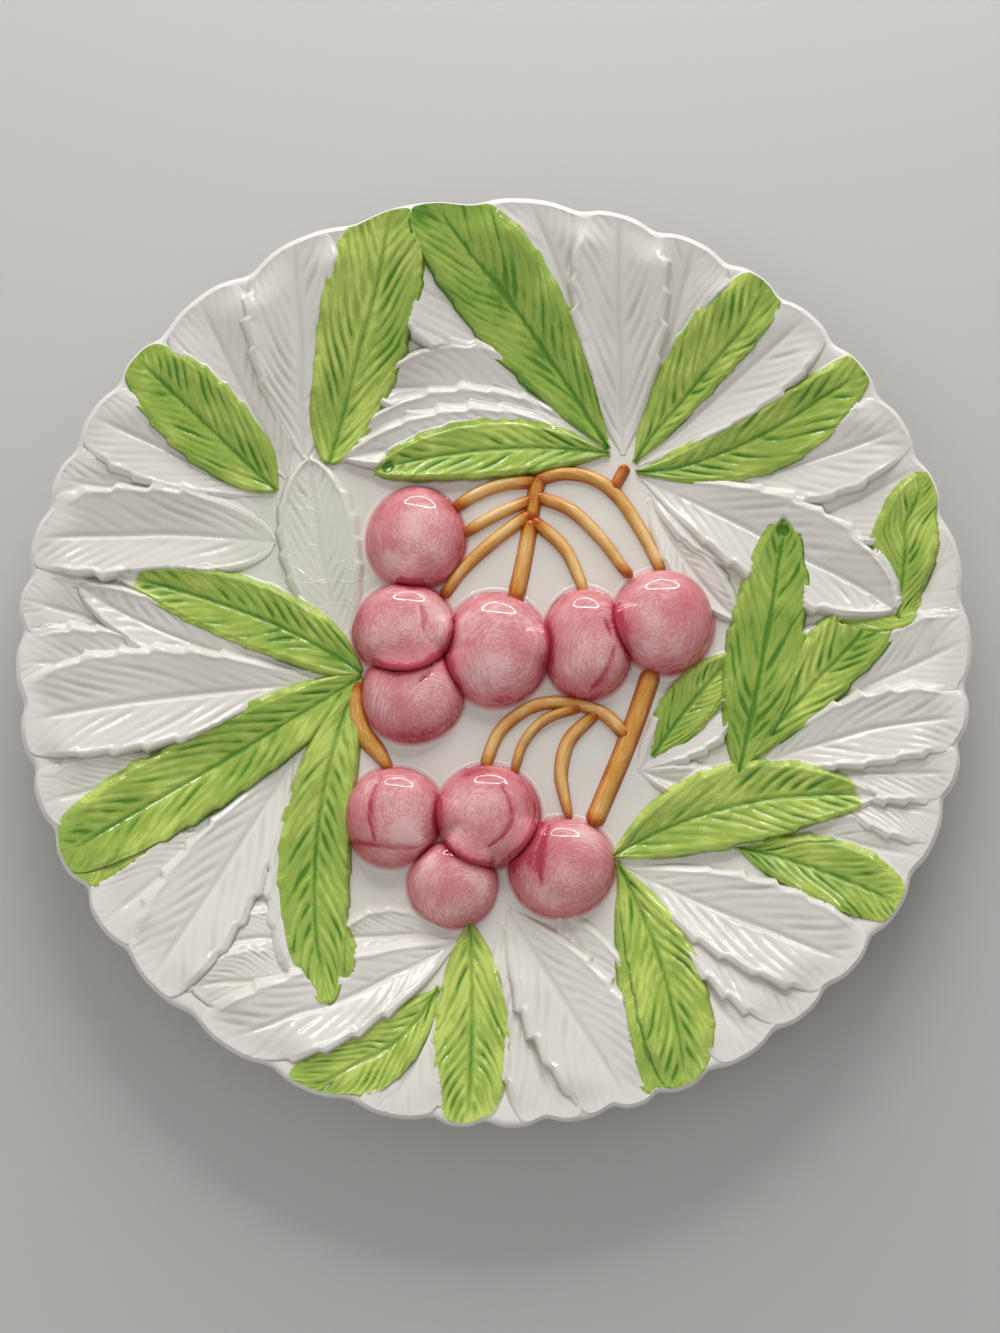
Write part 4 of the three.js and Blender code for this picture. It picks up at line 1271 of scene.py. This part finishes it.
def make_pink():
    """Pink brushed round each berry, darker in the creases and towards the foot, with painted shade where
    berries meet, fading into the white.
    """
    material, tree, shader = new_glaze("pink_glaze_brushed", ripple_scale=140.0, gloss=0.01, ripple_depth=0.1)
    edge = attribute(tree, "edge")
    # The groove value carries the creases, the patches and the painted shade where berries meet
    grooved = add_math(tree, "MULTIPLY", attribute(tree, "groove"), 0.75)
    depth = add_up(tree, grooved, add_range(tree, edge, 0.7, 1.0, 0.0, 0.35), 0.29)
    paint = brushed(tree, depth, light=(239, 189, 190), middle=(214, 132, 137), dark=(178, 58, 76),
                    streaks=1.2, blotches=1.4, scale=4.2)
    colour = add_mix(tree, add_range(tree, edge, 1.0, 1.12), paint, WHITE_THIN)
    tree.links.new(colour, shader.inputs["Base Color"])
    return material


def make_tan():
    """Tan brushed on the stems: light along the top, orange-brown down the sides and at the ends."""
    material, tree, shader = new_glaze("tan_glaze_brushed", ripple_scale=160.0, gloss=0.03)
    side = add_range(tree, attribute(tree, "edge"), 0.5, 1.0, 0.0, 0.5)
    depth = add_up(tree, side, attribute(tree, "groove"), 0.17)
    paint = brushed(tree, depth, light=(240, 200, 134), middle=(212, 148, 62), dark=(178, 86, 8),
                    streaks=1.3, blotches=1.2, scale=2.4)
    tree.links.new(paint, shader.inputs["Base Color"])
    return material


# Stage, in metres

CAMERA_TILT = 13.0
CAMERA_DISTANCE = 0.7
CAMERA_AIM = (0.0019, -0.0089, 0.027)
CAMERA_LENS = 60.6
CAMERA_SENSOR = 36.0
FLOOR_SIZE = 3.0
FLOOR_DEPTH = 0.0001
FLOOR_ROUGHNESS = 0.8
WORLD_STRENGTH = 0.395
RIGHTWARDS = (1, 0, 0)
KEY_PLACE = (0.06, 0.95, 0.46)
FILL_PLACE = (-0.5, -0.4, 0.9)
LOOP_REACH = (0.4, 0.24)
LOOP_WIDTH = 0.028
LOOP_COUNT = 16
LOOP_POWER = 2.6


def make_camera():
    """A camera that looks down on the plate, tilted from its axis towards the bottom of the decoration."""
    data = bpy.data.cameras.new("camera")
    data.lens = CAMERA_LENS
    data.sensor_width = CAMERA_SENSOR
    camera = add_object("camera", data)
    tilt = math.radians(CAMERA_TILT)
    back = CAMERA_DISTANCE * np.array([0, -math.sin(tilt), math.cos(tilt)])
    camera.location = (CAMERA_AIM + back).tolist()
    camera.rotation_euler = (tilt, 0, 0)
    bpy.context.scene.camera = camera


def make_lamp(name, place, sideways, size, tall, power, mirrored=True):
    """A soft lamp that faces the plate, with its width along a direction, mirrored in the glaze or not."""
    data = bpy.data.lights.new(name, "AREA")
    data.shape = "RECTANGLE"
    data.size = size
    data.size_y = tall
    data.energy = power
    lamp = add_object(name, data)
    lamp.location = place
    lamp.visible_glossy = mirrored
    behind = Vector(place).normalized()
    upward = behind.cross(Vector(sideways)).normalized()
    across = upward.cross(behind)
    lamp.rotation_euler = Matrix((across, upward, behind)).transposed().to_euler()


def make_loop_lamps():
    """Narrow lamps end to end round an oval about the key, which the glaze mirrors as fine loops."""
    key = np.array(KEY_PLACE)
    behind = key / np.linalg.norm(key)
    across = np.cross((0, 0, 1), behind)
    across /= np.linalg.norm(across)
    upward = np.cross(behind, across)
    turn = np.linspace(0, 2 * np.pi, LOOP_COUNT + 1)[:, None]
    corners = key + LOOP_REACH[0] * np.cos(turn) * across + LOOP_REACH[1] * np.sin(turn) * upward
    middles = (corners[:-1] + corners[1:]) / 2
    runs = np.diff(corners, axis=0)
    for number, (middle, run) in enumerate(zip(middles.tolist(), runs.tolist())):
        length = math.hypot(*run)
        make_lamp(f"loop_{number}", middle, run, length, LOOP_WIDTH, LOOP_POWER * length)


def make_stage():
    """A pale floor, a soft key lamp beyond the top of the decoration, a weaker fill and an even grey sky."""
    half = FLOOR_SIZE / 2
    mesh = bpy.data.meshes.new("floor")
    corners = [(-half, -half), (half, -half), (half, half), (-half, half)]
    mesh.from_pydata([(x, y, -FLOOR_DEPTH) for x, y in corners], [], [(0, 1, 2, 3)])
    material, _, shader = new_material("floor_matt")
    shader.inputs["Base Color"].default_value = srgb(196, 195, 192)
    shader.inputs["Roughness"].default_value = FLOOR_ROUGHNESS
    mesh.materials.append(material)
    floor = add_object("floor", mesh)
    make_lamp("key", KEY_PLACE, RIGHTWARDS, size=0.6, tall=0.6, power=4.9, mirrored=False)
    make_lamp("key_sheen", KEY_PLACE, RIGHTWARDS, size=0.8, tall=0.45, power=0.2)
    make_loop_lamps()
    make_lamp("fill", FILL_PLACE, RIGHTWARDS, size=0.8, tall=0.8, power=1.8, mirrored=False)
    world = bpy.data.worlds.new("even_grey")
    world.use_nodes = True
    background = world.node_tree.nodes["Background"].inputs
    background["Color"].default_value = (1, 1, 1, 1)
    background["Strength"].default_value = WORLD_STRENGTH
    bpy.context.scene.world = world
    bpy.context.scene.view_settings.view_transform = "Standard"


leaf_glazes = {"white": make_white(), "green": make_green()}
pink = make_pink()
tan = make_tan()
make_body(leaf_glazes["white"])
pile_levels(LEAVES)
for leaf_number, shown_leaf in enumerate(LEAVES):
    make_leaf(LEAVES, leaf_number, leaf_glazes[shown_leaf.colour])
for berry_number in range(len(BERRIES)):
    make_berry(BERRIES, berry_number, pink)
for group_name, group_stems in STEM_GROUPS.items():
    make_stems(group_name, group_stems, tan)
make_camera()
make_stage()
